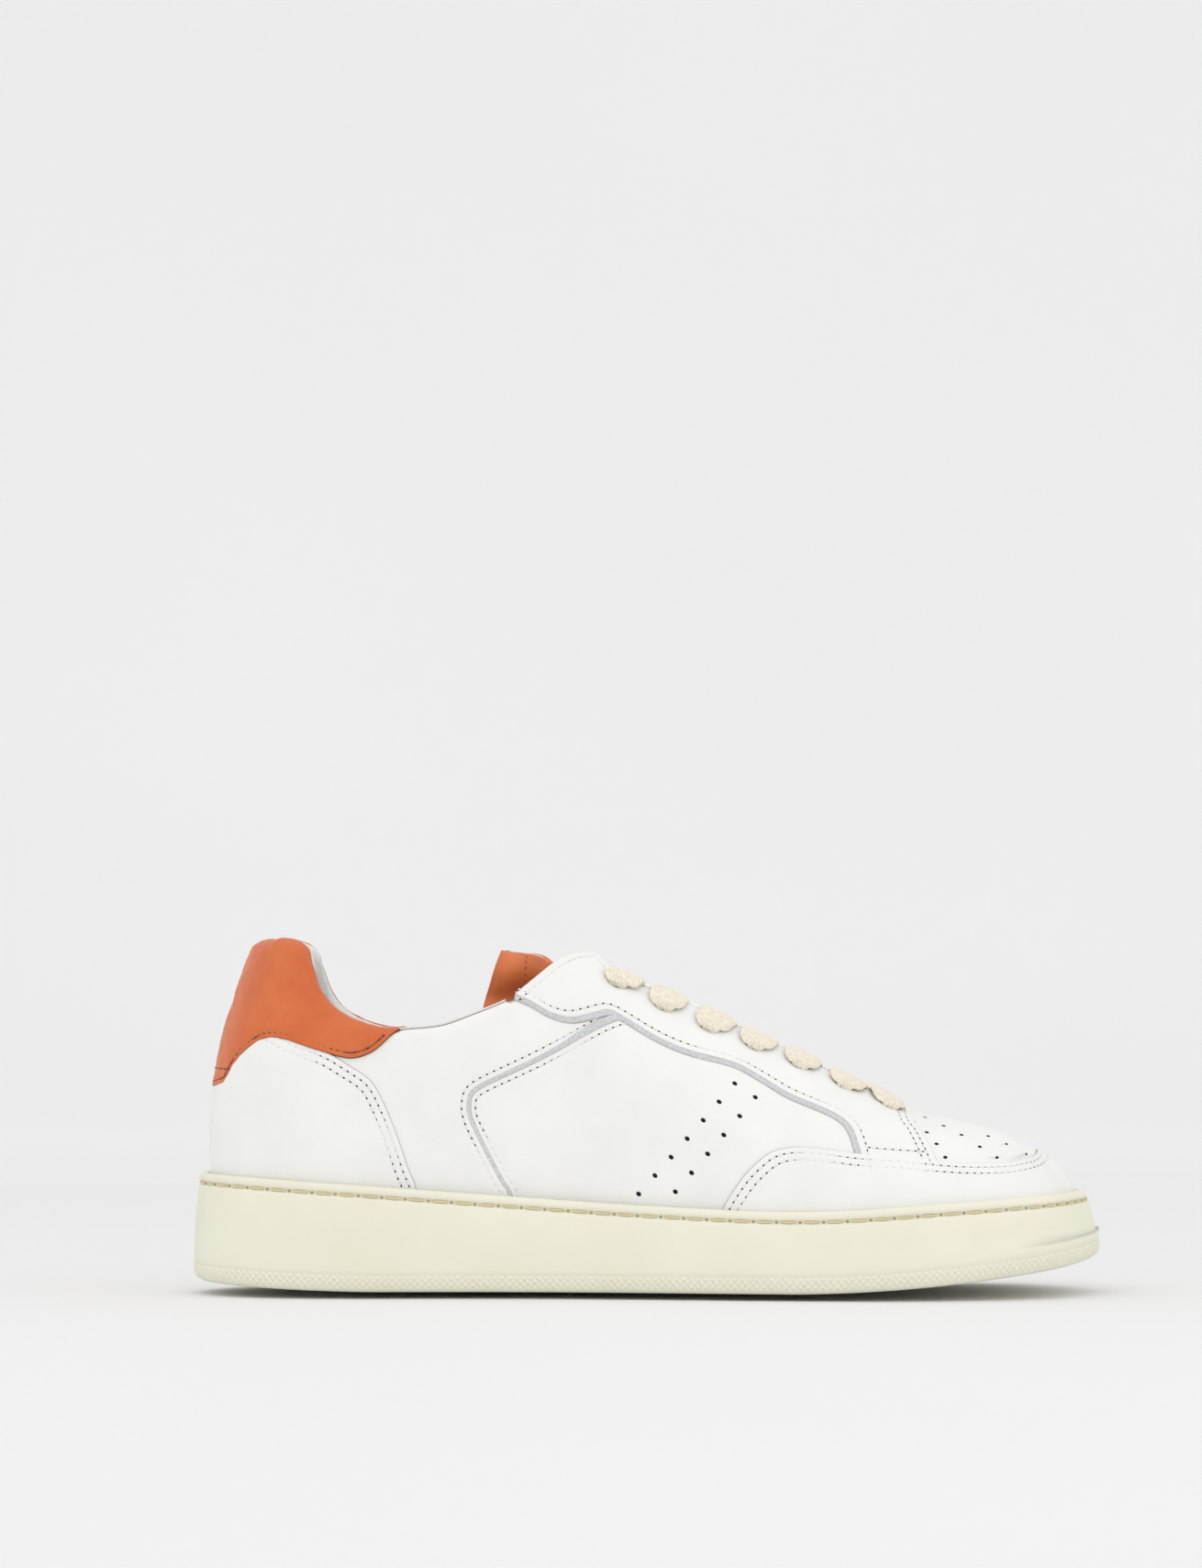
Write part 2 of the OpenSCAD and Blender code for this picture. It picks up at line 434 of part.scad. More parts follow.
// ---- the tongue ----
// Each row of the tongue: where its outer edge lies, and the station where it crosses the ridge.
tongue_rows = [
    [side_at(-46.7, 108.3), 5.92], [side_at(-49.5, 100), 6.1], [side_at(-52.3, 90), 6.35],
    [side_at(-50, 81), 6.7], [side_at(-36, 75), 7.1], [side_at(-12, 71), 7.6],
    [side_at(16, 66.5), 8.05], [side_at(42, 58), 8.5], [side_at(66, 51), 8.95], [side_at(80, 47.5), 9.35]];
// The v at which station u reaches height z, by halving.
function v_at(u, z, low = 0.3, high = 1, n = 14) =
    let (v = (low + high) / 2)
    n == 0 ? v : skin_point(u, v)[2] < z ? v_at(u, z, v, high, n - 1) : v_at(u, z, low, v, n - 1);
tongue_steps = 6;
function tongue_row(r, depth) =
    let (z_edge = skin_point(r[0][0], r[0][1])[2], z_ridge = skin_point(r[1], 1)[2])
    [for (j = [-tongue_steps : tongue_steps])
        let (f = sin(90 * (1 - abs(j) / tongue_steps)), u = mix(r[0][0], r[1], f),
             v = j == 0 ? 1 : v_at(u, mix(z_edge, z_ridge, f)))
        skin(j <= 0 ? u : loop_end - u, v, depth)];
tongue_net = [for (i = [0 : 2 * (len(tongue_rows) - 1)]) along(tongue_rows, i / 2)];
module tongue_layer(outer, inner) {
    sheet([for (r = tongue_net) tongue_row(r, outer)], [for (r = tongue_net) tongue_row(r, inner)]);
}
tongue_skin = 0.9;
module tongue_outer() { color(leather_tan) tongue_layer(depth_tongue, depth_tongue + tongue_skin); }
module tongue_padding() {
    color("khaki") tongue_layer(depth_tongue + tongue_skin + gap, depth_tongue + tongue_skin + gap + tongue_foam);
}
module tongue_lining() {
    base = depth_tongue + tongue_skin + tongue_foam + 2 * gap;
    color("ivory") tongue_layer(base, base + lining);
}

// ---- the lace ----
function eyelet(k, side) =
    let (q = below(throat_at(eyelet_x(k)), eyelet_inset)) [side < 0 ? q[0] : loop_end - q[0], q[1]];
function near(k, side, distance, depth) =
    let (q = below(throat_at(eyelet_x(k)), distance)) skin(side < 0 ? q[0] : loop_end - q[0], q[1], depth);
function way(k) = unit(near(min(k + 1, eyelet_rows - 1), -1, 0, 0) - near(min(k, eyelet_rows - 2), -1, 0, 0));
last_hole = eyelet_rows - 1;
narrow = [3.4, 1.9];
open_size = [lace_width, lace_thickness];
// Each stop of the lace: [point, direction of its width, [width, thickness]].
// Over the throat's edge, down through the hole from above and back under the eyestay.
function dive(k, side) = let (w = [way(k)[0], 0, way(k)[2]])
    [[near(k, side, 0.5, -1.7), w, open_size],
     [near(k, side, eyelet_inset - 3.2, -1.9), w, mix(narrow, open_size, 0.7)],
     [near(k, side, eyelet_inset - 0.8, -1.3), w, narrow], [near(k, side, eyelet_inset, 0), w, narrow],
     [near(k, side, eyelet_inset, 2.2), w, narrow], [near(k, side, eyelet_inset - 1.4, 4.1), w, narrow]];
// Out from under one eyestay at hole k and across the throat to the hole above on the other side.
// The strands that end on the outer side pass over the others where they cross.
// depths of the two strands where they cross on the ridge
over_depth = 1.2;
under_depth = 3.2;
function crossing(k, side) =
    let (w = [way(k)[0], 0, way(k)[2]], u_mid = (throat_at(eyelet_x(k))[0] + throat_at(eyelet_x(k - 1))[0]) / 2)
    [[near(k, side, 1.9, 4.8), w, mix(narrow, open_size, 0.6)],
     [near(k, side, -2.5, 4.6), w, open_size],
     [skin(u_mid, 1, side > 0 ? over_depth : under_depth), w, open_size]];
function chain(k, side) = k == 0 ? dive(0, side) : concat(dive(k, side), crossing(k, side), chain(k - 1, -side));
bottom_bar = let (a = near(last_hole, -1, 0.5, -1.7), b = near(last_hole, 1, 0.5, -1.7))
    [(a + b) / 2 + [0, 0, 0.7], [way(last_hole)[0], 0, way(last_hole)[2]], open_size];
// The two tails turn back under the eyelets and lie flat between the lining and the tongue.
tail_depth = 7.1;
tail_size = [5.6, 0.9];
function tail(k, side, stops) =
    let (n = len(stops))
    concat([[near(k, side, eyelet_inset + 1, 4.9), way(k), narrow]],
        [for (i = [0 : n - 1])
            let (q = below(throat_at(eyelet_x(stops[i])), eyelet_inset + 1.6),
                 u = side < 0 ? q[0] : loop_end - q[0],
                 across = skin_point(u, q[1] + 0.02) - skin_point(u, q[1] - 0.02))
            [skin(u, q[1], mix(6.2, tail_depth, min(i, 1))), unit(across), mix(narrow, tail_size, min(i / 2, 1))]]);
tail_stops = [0.3, 0.8, 2, 3, 4];
lace_stops = concat(
    reversed(tail(0, -1, tail_stops)), reversed(chain(last_hole, -1)), [bottom_bar],
    chain(last_hole, 1), tail(0, 1, tail_stops));
lace_path = [for (i = [0 : 2 * (len(lace_stops) - 1)]) along(lace_stops, i / 2)];
function lace_ring(i) =
    let (n = len(lace_path) - 1, here = lace_path[i],
         t = unit(lace_path[min(i + 1, n)][0] - lace_path[max(i - 1, 0)][0]),
         w = unit(here[1] - (here[1] * t) * t), h = cross(t, w), size = here[2] / 2)
    [for (s = [[-1, -1], [1, -1], [1, 1], [-1, 1]]) here[0] + s[0] * size[0] * w + s[1] * size[1] * h];
module lace() {
    n = len(lace_path) - 1;
    rings = [for (i = [0 : n]) lace_ring(i)];
    color(cotton_cream)
    polyhedron([for (r = rings) each r], concat(
        [[0, 1, 2], [0, 2, 3], [4 * n, 4 * n + 2, 4 * n + 1], [4 * n, 4 * n + 3, 4 * n + 2]],
        [for (i = [0 : n - 1]) for (j = [0 : 3])
            each two_triangles(4 * i + j, 4 * i + 4 + j, 4 * i + 4 + (j + 1) % 4, 4 * i + (j + 1) % 4)]));
}
tip_length = 18;
tip_radius = 1.2;
module tip(from, towards) {
    d = unit(towards);
    translate(from + 0.1 * d)
    rotate([0, acos(d[2]), atan2(d[1], d[0])])
    cylinder(h = tip_length, r = tip_radius, $fn = 24);
}
module lace_tips() {
    n = len(lace_path) - 1;
    color("white") {
        tip(lace_path[0][0], lace_path[0][0] - lace_path[1][0]);
        tip(lace_path[n][0], lace_path[n][0] - lace_path[n - 1][0]);
    }
}

cupsole();
sole_stitching();
midsole_filler();
insole_board();
footbed();
toe_box();
toe_puff();
vamp_lining();
mudguard();
quarter(-1);  // quarter_lateral
quarter(1);  // quarter_medial
quarter_edging(-1);  // quarter_edging_lateral
quarter_edging(1);  // quarter_edging_medial
rear_quarter(-1);  // rear_quarter_lateral
rear_quarter(1);  // rear_quarter_medial
color(leather_white) eyestay(-1);  // eyestay_lateral
color(leather_white) eyestay(1);  // eyestay_medial
eyestay_edging(-1);  // eyestay_edging_lateral
eyestay_edging(1);  // eyestay_edging_medial
color("ivory") eyelet_tape(-1);  // eyelet_tape_lateral
color("ivory") eyelet_tape(1);  // eyelet_tape_medial
heel_panel();
heel_counter();
heel_collar_patch();
collar_padding();
quarter_lining(-1);  // quarter_lining_lateral
quarter_lining(1);  // quarter_lining_medial
tongue_outer();
tongue_padding();
tongue_lining();
lace();
lace_tips();
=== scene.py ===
"""Visual model of a low court shoe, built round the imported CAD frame.

Lengths are in millimetres until a mesh is made, and +X points to the toe, +Z up and -Y to the outer side.
The upper's panels are cut in flat charts of the shoe's skin, meshed there and laid back onto the skin.
"""
import math

import bpy
import numpy as np
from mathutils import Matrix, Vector, noise
from mathutils.geometry import delaunay_2d_cdt


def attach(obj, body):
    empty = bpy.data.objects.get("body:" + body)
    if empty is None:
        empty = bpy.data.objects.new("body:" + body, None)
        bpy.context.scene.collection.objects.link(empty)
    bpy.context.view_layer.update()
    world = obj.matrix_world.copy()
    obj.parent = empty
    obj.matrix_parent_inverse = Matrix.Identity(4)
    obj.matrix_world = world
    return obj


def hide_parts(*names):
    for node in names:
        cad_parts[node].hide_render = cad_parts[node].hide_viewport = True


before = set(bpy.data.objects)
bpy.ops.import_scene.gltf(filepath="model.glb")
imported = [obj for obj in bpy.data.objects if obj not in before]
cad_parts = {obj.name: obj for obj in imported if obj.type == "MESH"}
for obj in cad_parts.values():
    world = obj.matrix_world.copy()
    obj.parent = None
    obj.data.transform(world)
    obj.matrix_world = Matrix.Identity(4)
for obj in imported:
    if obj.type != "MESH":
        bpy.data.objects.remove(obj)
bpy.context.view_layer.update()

MM = 0.001

# ---- the shoe's form, as in the CAD part ----
# [x of the sole's edge, half width outside, half width inside] for the stations from heel to toe
SOLE_STATIONS = [
    [-146, 0, 0], [-139.5, 22, 22], [-121, 35.5, 35.5], [-95, 39.3, 38.2], [-65, 38.6, 35.6],
    [-35, 39.5, 33.6], [-5, 43.5, 35.6], [25, 49, 42], [55, 53.2, 49.5], [83, 54, 54],
    [110, 48.5, 51.5], [132.5, 33.5, 39.5], [146, -3.5, 3.5]]
# [x, half width, z] of the rail that each section runs up to
TOP_STATIONS = [
    [-105, 0, 150], [-103, 9, 150], [-98, 17, 150], [-86, 21.5, 150], [-62, 20, 150],
    [-41, 0, 141], [-19, 0, 111], [12, 0, 96.5], [46, 0, 78.5], [80, 0, 59.6],
    [94, 0, 55.2], [102, 0, 53.2], [106, 0, 51.8]]
# how each section bulges: [out and up at the bottom, out and up at the top]
BULGES = [
    [5.9, 36, 33, -50], [6.0, 36, 28, -50], [5.0, 36, 20, -50], [4.4, 36, 10, -50], [4.6, 34, 8, -46],
    [4.9, 34, 27, -27], [5.2, 34, 38, 1.5], [5.6, 30, 36, 1], [5.8, 25, 38, 0.6], [5.8, 20, 36, 0.5],
    [5.5, 17, 31, 0.6], [4.8, 17, 25, -0.6], [4.6, 18.5, 18, -3.4]]
LIP_START, LIP_STEP = -150, 50
LIP_HEIGHTS = [37.1, 34.2, 30.6, 27.4, 25.8, 28.8, 31.5]
TOE_SPRING, HEEL_RISE = 9.9, 2.6
BOARD_DEPTH, FLOOR = 12.0, 7.0
FEATHER_INSET, FOOT_RISE = 6.2, 0.6
TOE_LEAN, FOOT_LEAN = 2.6, 0.65
TOE_U, LOOP = 12, 24


# ---- curves ----
def ease(t):
    c = np.clip(t, 0, 1)
    return c * c * (3 - 2 * c)


def spline(a, b, c, d, t):
    return 0.5 * (2 * b + (c - a) * t + (2 * a - 5 * b + 4 * c - d) * t ** 2 + (3 * b - a - 3 * c + d) * t ** 3)


def along(points, t):
    """The open spline through points, at t from 0 to their number less one."""
    points, t = np.asarray(points, float), np.asarray(t, float)
    n = len(points) - 1
    i = np.clip(np.floor(t).astype(int), 0, n - 1)
    f = (t - i).reshape(t.shape + (1,) * (points.ndim - 1))
    return spline(points[np.maximum(i - 1, 0)], points[i], points[i + 1], points[np.minimum(i + 2, n)], f)


def round_loop(points, u):
    """The closed spline through points."""
    n = len(points)
    w = np.asarray(u, float) % n
    i = np.floor(w).astype(int)
    f = (w - i)[..., None]
    return spline(points[(i - 1) % n], points[i % n], points[(i + 1) % n], points[(i + 2) % n], f)


def unit(v):
    return v / np.maximum(np.linalg.norm(v, axis=-1, keepdims=True), 1e-9)


def arc_lengths(points):
    return np.concatenate([[0], np.cumsum(np.linalg.norm(np.diff(points, axis=0), axis=1))])


def resample(points, step):
    """The polyline at even steps of about that length, its ends kept."""
    s = arc_lengths(points)
    n = max(2, int(round(s[-1] / step)) + 1)
    at = np.linspace(0, s[-1], n)
    return np.stack([np.interp(at, s, points[:, k]) for k in range(points.shape[1])], 1)


def smooth_run(points, step):
    """A smooth line through the given points, at even steps."""
    if len(points) < 3:
        return resample(np.asarray(points, float), step)
    return resample(along(points, np.linspace(0, len(points) - 1, 24 * (len(points) - 1) + 1)), step)


# ---- heights of the sole ----
def lip_z(x):
    return along(LIP_HEIGHTS, (np.asarray(x, float) - LIP_START) / LIP_STEP)


def ground_z(x):
    x = np.asarray(x, float)
    return TOE_SPRING * (np.maximum(x - 45, 0) / 101) ** 1.7 + HEEL_RISE * (np.maximum(-85 - x, 0) / 61) ** 1.6


def station_loop(outer, inner):
    return np.array(list(outer) + [inner[k] for k in range(TOE_U - 1, 0, -1)], float)


EDGE = station_loop([[s[0], -s[1]] for s in SOLE_STATIONS], [[s[0], s[2]] for s in SOLE_STATIONS])


def edge_out(u):
    t = round_loop(EDGE, np.asarray(u, float) + 0.05) - round_loop(EDGE, np.asarray(u, float) - 0.05)
    return unit(np.stack([t[..., 1], -t[..., 0]], -1))


def edge(u, inset):
    return round_loop(EDGE, u) - np.asarray(inset, float)[..., None] * edge_out(u)


def lean_at(u):
    return TOE_LEAN * ease((edge(u, 0.0)[..., 0] - 95) / 50)


# ---- the skin of the upper ----
def make_rails():
    rows = []
    for i in range(LOOP):
        k, side = (i, -1) if i <= TOE_U else (LOOP - i, 1)
        out, foot = edge_out(i), edge(i, FEATHER_INSET + FOOT_LEAN * lean_at(i))
        b, s = BULGES[k], TOP_STATIONS[k]
        board = float(lip_z(foot[0])) - BOARD_DEPTH
        top = np.array([s[0], side * s[1], s[2]], float)
        low = foot + b[0] * out
        rows.append([[foot[0], foot[1], board + FOOT_RISE], [low[0], low[1], board + b[1]],
                     [top[0] + b[2] * out[0], top[1] + b[2] * out[1], top[2] + b[3]], top])
    return np.array(rows).transpose(1, 0, 2)


RAILS = make_rails()


def skin_point(u, v):
    """A point of the skin.  u runs round the shoe and v up it; past v = 1 lies the other side of the ridge."""
    u, v = np.broadcast_arrays(np.asarray(u, float), np.asarray(v, float))
    over = v > 1
    u, v = np.where(over, LOOP - u, u), np.where(over, 2 - v, v)[..., None]
    s = 1 - v
    p = [round_loop(r, u) for r in RAILS]
    return s ** 3 * p[0] + 3 * s * s * v * p[1] + 3 * s * v * v * p[2] + v ** 3 * p[3]


def skin_out(u, v, h=0.02):
    u, v = np.broadcast_arrays(np.asarray(u, float), np.asarray(v, float))
    du = skin_point(u + h, v) - skin_point(u - h, v)
    dv = skin_point(u, v + h) - skin_point(u, v - h)
    tip = (np.abs(u - TOE_U) < 0.35) & (v > 0.97)
    du = np.where(tip[..., None], np.array([0, 1.0, 0]), du)
    dv = np.where(tip[..., None], skin_point(u, np.minimum(v, 1)) - skin_point(u, np.minimum(v, 1) - 0.04), dv)
    return unit(np.cross(du, dv))


def skin(u, v, depth):
    return skin_point(u, v) - np.asarray(depth, float)[..., None] * skin_out(u, v)


SEEDS = [a.ravel() for a in np.meshgrid(np.linspace(0, TOE_U, 241), np.linspace(0, 1, 101), indexing="ij")]
SEED_POINTS = skin_point(*SEEDS)


def solve(points, axes, steps=8):
    """Where the outer side's skin has the given two coordinates: an array of (u, v)."""
    points = np.atleast_2d(np.asarray(points, float))
    near = SEED_POINTS[:, axes]
    found = np.array([np.argmin(((near - p) ** 2).sum(1)) for p in points])
    u, v, h = SEEDS[0][found], SEEDS[1][found], 0.01
    for _ in range(steps):
        p = skin_point(u, v)[:, axes]
        pu = (skin_point(u + h, v)[:, axes] - p) / h
        pv = (skin_point(u, v - h)[:, axes] - p) / -h
        e = points - p
        det = pu[:, 0] * pv[:, 1] - pv[:, 0] * pu[:, 1]
        det = np.where(np.abs(det) < 1e-6, 1e-6, det)
        u = np.clip(u + np.clip((e[:, 0] * pv[:, 1] - pv[:, 0] * e[:, 1]) / det, -0.1, 0.1), 0, TOE_U)
        v = np.clip(v + np.clip((pu[:, 0] * e[:, 1] - e[:, 0] * pu[:, 1]) / det, -0.05, 0.05), 0, 1)
    return np.stack([u, v], 1)


def from_side(*points):
    return solve(points, [0, 2])


def from_above(*points):
    return solve(points, [0, 1])


def foot_at(x):
    """The foot of the upper below the sole's lip, at x."""
    u = np.interp(x, RAILS[0][:TOE_U + 1, 0], np.arange(TOE_U + 1))
    return np.array([[u, 0.0]])


def rows(*parts):
    return np.concatenate([np.atleast_2d(p) for p in parts])


# ---- the rounded collar ----
# seen from the side, where the collar's top runs, from the heel to the throat
COLLAR = from_side((-119.7, 112.6), (-116.3, 113), (-112, 111.4), (-109.4, 109), (-108.4, 105.5), (-106.8, 101.6),
                   (-103.6, 95.4), (-98.4, 89.5), (-91.1, 85.6), (-82.7, 83.6), (-74.7, 84.1), (-65.9, 85),
                   (-57.2, 87.9), (-48.4, 91.4), (-42, 94.2))
COLLAR = rows([[0, 0.733], [0.5, 0.738], [1.0, 0.741]], COLLAR)
COLLAR = COLLAR[np.argsort(COLLAR[:, 0])]
COLLAR_END = float(COLLAR[-1, 0])
COLLAR_STOP = 0.14  # the roll is followed to this far short of the collar's end
ROLL_RADIUS = [[0, 4.4], [2.2, 4.2], [3.0, 3.8], [3.8, 3.0], [4.4, 2.2], [COLLAR_END, 1.2]]
ROLL_OVER = math.radians(100)


def from_heel(u):
    """Distance round the loop from the heel, the same on both sides."""
    w = np.abs(np.asarray(u, float)) % LOOP
    return np.minimum(w, LOOP - w)


def roll_radius(u):
    r = np.array(ROLL_RADIUS)
    return np.interp(from_heel(u), r[:, 0], r[:, 1])


def collar_v(u):
    fine = along(COLLAR, np.linspace(0, len(COLLAR) - 1, 400))
    return np.interp(from_heel(u), fine[:, 0], fine[:, 1])


class Pattern:
    """A chart of the skin.  Its coordinates are millimetres round the shoe and up each section, and past
    the collar's shoulder they wrap over a rounded roll."""

    def __init__(self):
        self.us = np.linspace(-7, 31, 38 * 24 + 1)
        self.vs = np.linspace(0, 1, 161)
        grid = skin_point(self.us[:, None], self.vs[None, :])
        self.up = np.zeros(grid.shape[:2])
        self.up[:, 1:] = np.cumsum(np.linalg.norm(np.diff(grid, axis=1), axis=2), axis=1)
        line = skin_point(self.us, 0.3)
        self.x = arc_lengths(line)
        self.x = self.x - np.interp(0, self.us, self.x)
        self.qs = np.linspace(0, 1, 241)
        self.v_of_q = np.array([np.interp(self.qs, r / r[-1], self.vs) for r in self.up])
        top = self.up_at(self.us, collar_v(self.us)) - roll_radius(self.us)
        in_collar = from_heel(self.us) <= COLLAR_END
        self.shoulder = np.where(in_collar, top, 1e6)

    def table(self, table, columns, u, c):
        i = np.clip((u - self.us[0]) / (self.us[1] - self.us[0]), 0, len(self.us) - 1.001)
        j = np.clip(np.asarray(c) / columns[-1] * (len(columns) - 1), 0, len(columns) - 1.001)
        a, b = np.floor(i).astype(int), np.floor(j).astype(int)
        f, g = i - a, j - b
        low = table[a, b] * (1 - g) + table[a, b + 1] * g
        high = table[a + 1, b] * (1 - g) + table[a + 1, b + 1] * g
        return low * (1 - f) + high * f

    def up_at(self, u, v):
        return self.table(self.up, self.vs, u, v)

    def shoulder_at(self, u):
        return np.where(from_heel(u) <= COLLAR_END, np.interp(u, self.us, np.minimum(self.shoulder, 500)), 1e6)

    def flat(self, uv, over=None):
        """Chart coordinates of (u, v) points, or where over is given, of points that far over the collar's roll."""
        uv = np.atleast_2d(uv)
        y = self.up_at(uv[:, 0], uv[:, 1])
        if over is not None:
            y = self.shoulder_at(uv[:, 0]) + np.asarray(over) * roll_radius(uv[:, 0])
        return np.stack([np.interp(uv[:, 0], self.us, self.x), y], 1)

    def find(self, q):
        u = np.interp(q[:, 0], self.x, self.us)
        shoulder = self.shoulder_at(u)
        over = np.maximum(q[:, 1] - shoulder, 0)
        y = np.minimum(q[:, 1], shoulder)
        total = np.interp(u, self.us, self.up[:, -1])
        return u, self.table(self.v_of_q, self.qs, u, np.clip(y / total, 0, 1)), over

    def place(self, q, depth):
        u, v, over = self.find(q)
        p, out = skin_point(u, v), skin_out(u, v)
        depth = np.broadcast_to(np.asarray(depth, float), u.shape)
        r = roll_radius(u)
        a = np.where(over > 0, over / r, 0)[:, None]
        rise = skin_point(u, v + 0.01) - skin_point(u, v - 0.01)
        rise = unit(rise - (rise * out).sum(1, keepdims=True) * out)
        turned = p - r[:, None] * out + (r - depth)[:, None] * (np.cos(a) * out + np.sin(a) * rise)
        return np.where(a > 0, turned, p - depth[:, None] * out)


PATTERN = Pattern()


class Hood:
    """A chart of a panel that crosses the ridge.  ribs are pairs of (u, v) points: the panel's edge on the
    outer side and the point where that rib crosses the ridge.  The last rib closes onto itself."""

    def __init__(self, ribs):
        self.ribs = np.asarray(ribs, float)
        self.count = len(ribs) - 1
        ridge = skin_point(*along(self.ribs[:, 1], np.linspace(0, self.count, 80)).T)
        self.length = arc_lengths(ridge)[-1] * 1.25
        self.half = arc_lengths(self.lay(np.full(60, 0.4), np.linspace(0, 1, 60), 0.0))[-1]

    def lay(self, s, t, depth):
        r = along(self.ribs, s * self.count)
        f = np.abs(t)[:, None]
        q = r[:, 1] * (1 - f) + r[:, 0] * f
        u = np.where(t > 0, LOOP - q[:, 0], q[:, 0])
        p = skin(u, q[:, 1], np.broadcast_to(np.asarray(depth, float), u.shape))
        return p

    def place(self, q, depth):
        return self.lay(q[:, 0] / self.length, q[:, 1] / self.half, depth)

    def flat_of(self, points):
        """Chart coordinates nearest to points in space."""
        s, t = np.meshgrid(np.linspace(0, 1, 161), np.linspace(-1, 1, 321), indexing="ij")
        q = np.stack([s.ravel() * self.length, t.ravel() * self.half], 1)
        grid = self.place(q, 0.0)
        return np.array([q[np.argmin(((grid - p) ** 2).sum(1))] for p in points])


class SoleFloor:
    """A chart of the outsole's underside, seen from below."""

    def place(self, q, depth):
        return np.stack([q[:, 0], -q[:, 1], ground_z(q[:, 0]) + depth], 1)


# ---- plane geometry in a chart ----
def is_inside(points, polygon):
    """True for the points inside the polygon."""
    a, b = polygon, np.roll(polygon, -1, 0)
    inside = np.zeros(len(points), bool)
    for p, q in zip(a, b):
        if p[1] == q[1]:
            continue
        hit = (p[1] > points[:, 1]) != (q[1] > points[:, 1])
        x = p[0] + (points[:, 1] - p[1]) / (q[1] - p[1]) * (q[0] - p[0])
        inside ^= hit & (points[:, 0] < x)
    return inside


def distance(points, line, closed=False):
    """Distance of each point from the polyline."""
    a = line if closed else line[:-1]
    b = np.roll(line, -1, 0) if closed else line[1:]
    best = np.full(len(points), 1e9)
    for k in range(0, len(points), 2000):
        p = points[k:k + 2000, None]
        d = b - a
        t = np.clip(((p - a) * d).sum(2) / np.maximum((d * d).sum(1), 1e-12), 0, 1)
        best[k:k + 2000] = np.sqrt((((a + t[..., None] * d) - p) ** 2).sum(2)).min(1)
    return best


def offset(line, by):
    """The polyline moved to its left by that distance."""
    t = unit(np.gradient(line, axis=0))
    return line + by * np.stack([-t[:, 1], t[:, 0]], 1)


def clean_offset(line, by):
    """As offset, with the points left out that come too close to the line in a tight bend."""
    moved = offset(line, by)
    return moved[distance(moved, line) > abs(by) * 0.93]


def offset_rings(polygon, by):
    closed = np.vstack([polygon[-1:], polygon, polygon[:1]])
    return offset(closed, by)[1:-1]


def signed_area(p):
    q = np.roll(p, -1, 0)
    return 0.5 * (p[:, 0] * q[:, 1] - q[:, 0] * p[:, 1]).sum()


# ---- meshes ----
def make_object(name, points, faces, materials, indices=None, uvs=None):
    mesh = bpy.data.meshes.new(name)
    mesh.from_pydata((np.asarray(points) * MM).tolist(), [], [list(map(int, f)) for f in faces])
    for m in materials:
        mesh.materials.append(m)
    if indices is not None:
        mesh.polygons.foreach_set("material_index", np.asarray(indices, np.int32))
    mesh.polygons.foreach_set("use_smooth", np.full(len(mesh.polygons), True))
    if uvs is not None:
        layer = mesh.uv_layers.new(name="UVMap")
        loops = np.zeros(len(mesh.loops), np.int32)
        mesh.loops.foreach_get("vertex_index", loops)
        layer.data.foreach_set("uv", (np.asarray(uvs)[loops] * MM).ravel())
    mesh.update()
    obj = bpy.data.objects.new(name, mesh)
    bpy.context.scene.collection.objects.link(obj)
    return obj


def belongs(obj, slot, *nodes, body="shoe"):
    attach(obj, body)
    if nodes:
        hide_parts(*nodes)
    return obj


def circle(centre, radius, n=14):
    a = np.linspace(0, 2 * math.pi, n, endpoint=False)
    return centre + radius * np.stack([np.cos(a), np.sin(a)], 1)


def local_scale(chart, q):
    """Millimetres on the skin for a millimetre in the chart, along each of its axes."""
    h = 0.5
    centre = np.atleast_2d(q)
    return np.array([np.linalg.norm(chart.place(centre + d, 0.0) - chart.place(centre - d, 0.0)) / (2 * h)
                     for d in (np.array([[h, 0]]), np.array([[0, h]]))])


EDGE_DROP, EDGE_WIDTH, EDGE_LEAN = 0.24, 0.8, 0.3
GROOVE_DEPTH, GROOVE_WIDTH = 0.16, 0.6
HOLE_DEPTH = 0.75
EDGE_RINGS = 0.35, 0.95  # a panel is meshed finely on lines this far inside its edge
GROOVE_LINES = -0.5, 0.5, -1.1, 1.1  # and this far beside its grooves
EDGE_CLEAR, GROOVE_CLEAR, HOLE_CLEAR = 1.5, 1.6, 2.4  # the coarse grid keeps off them; the last is in hole radii


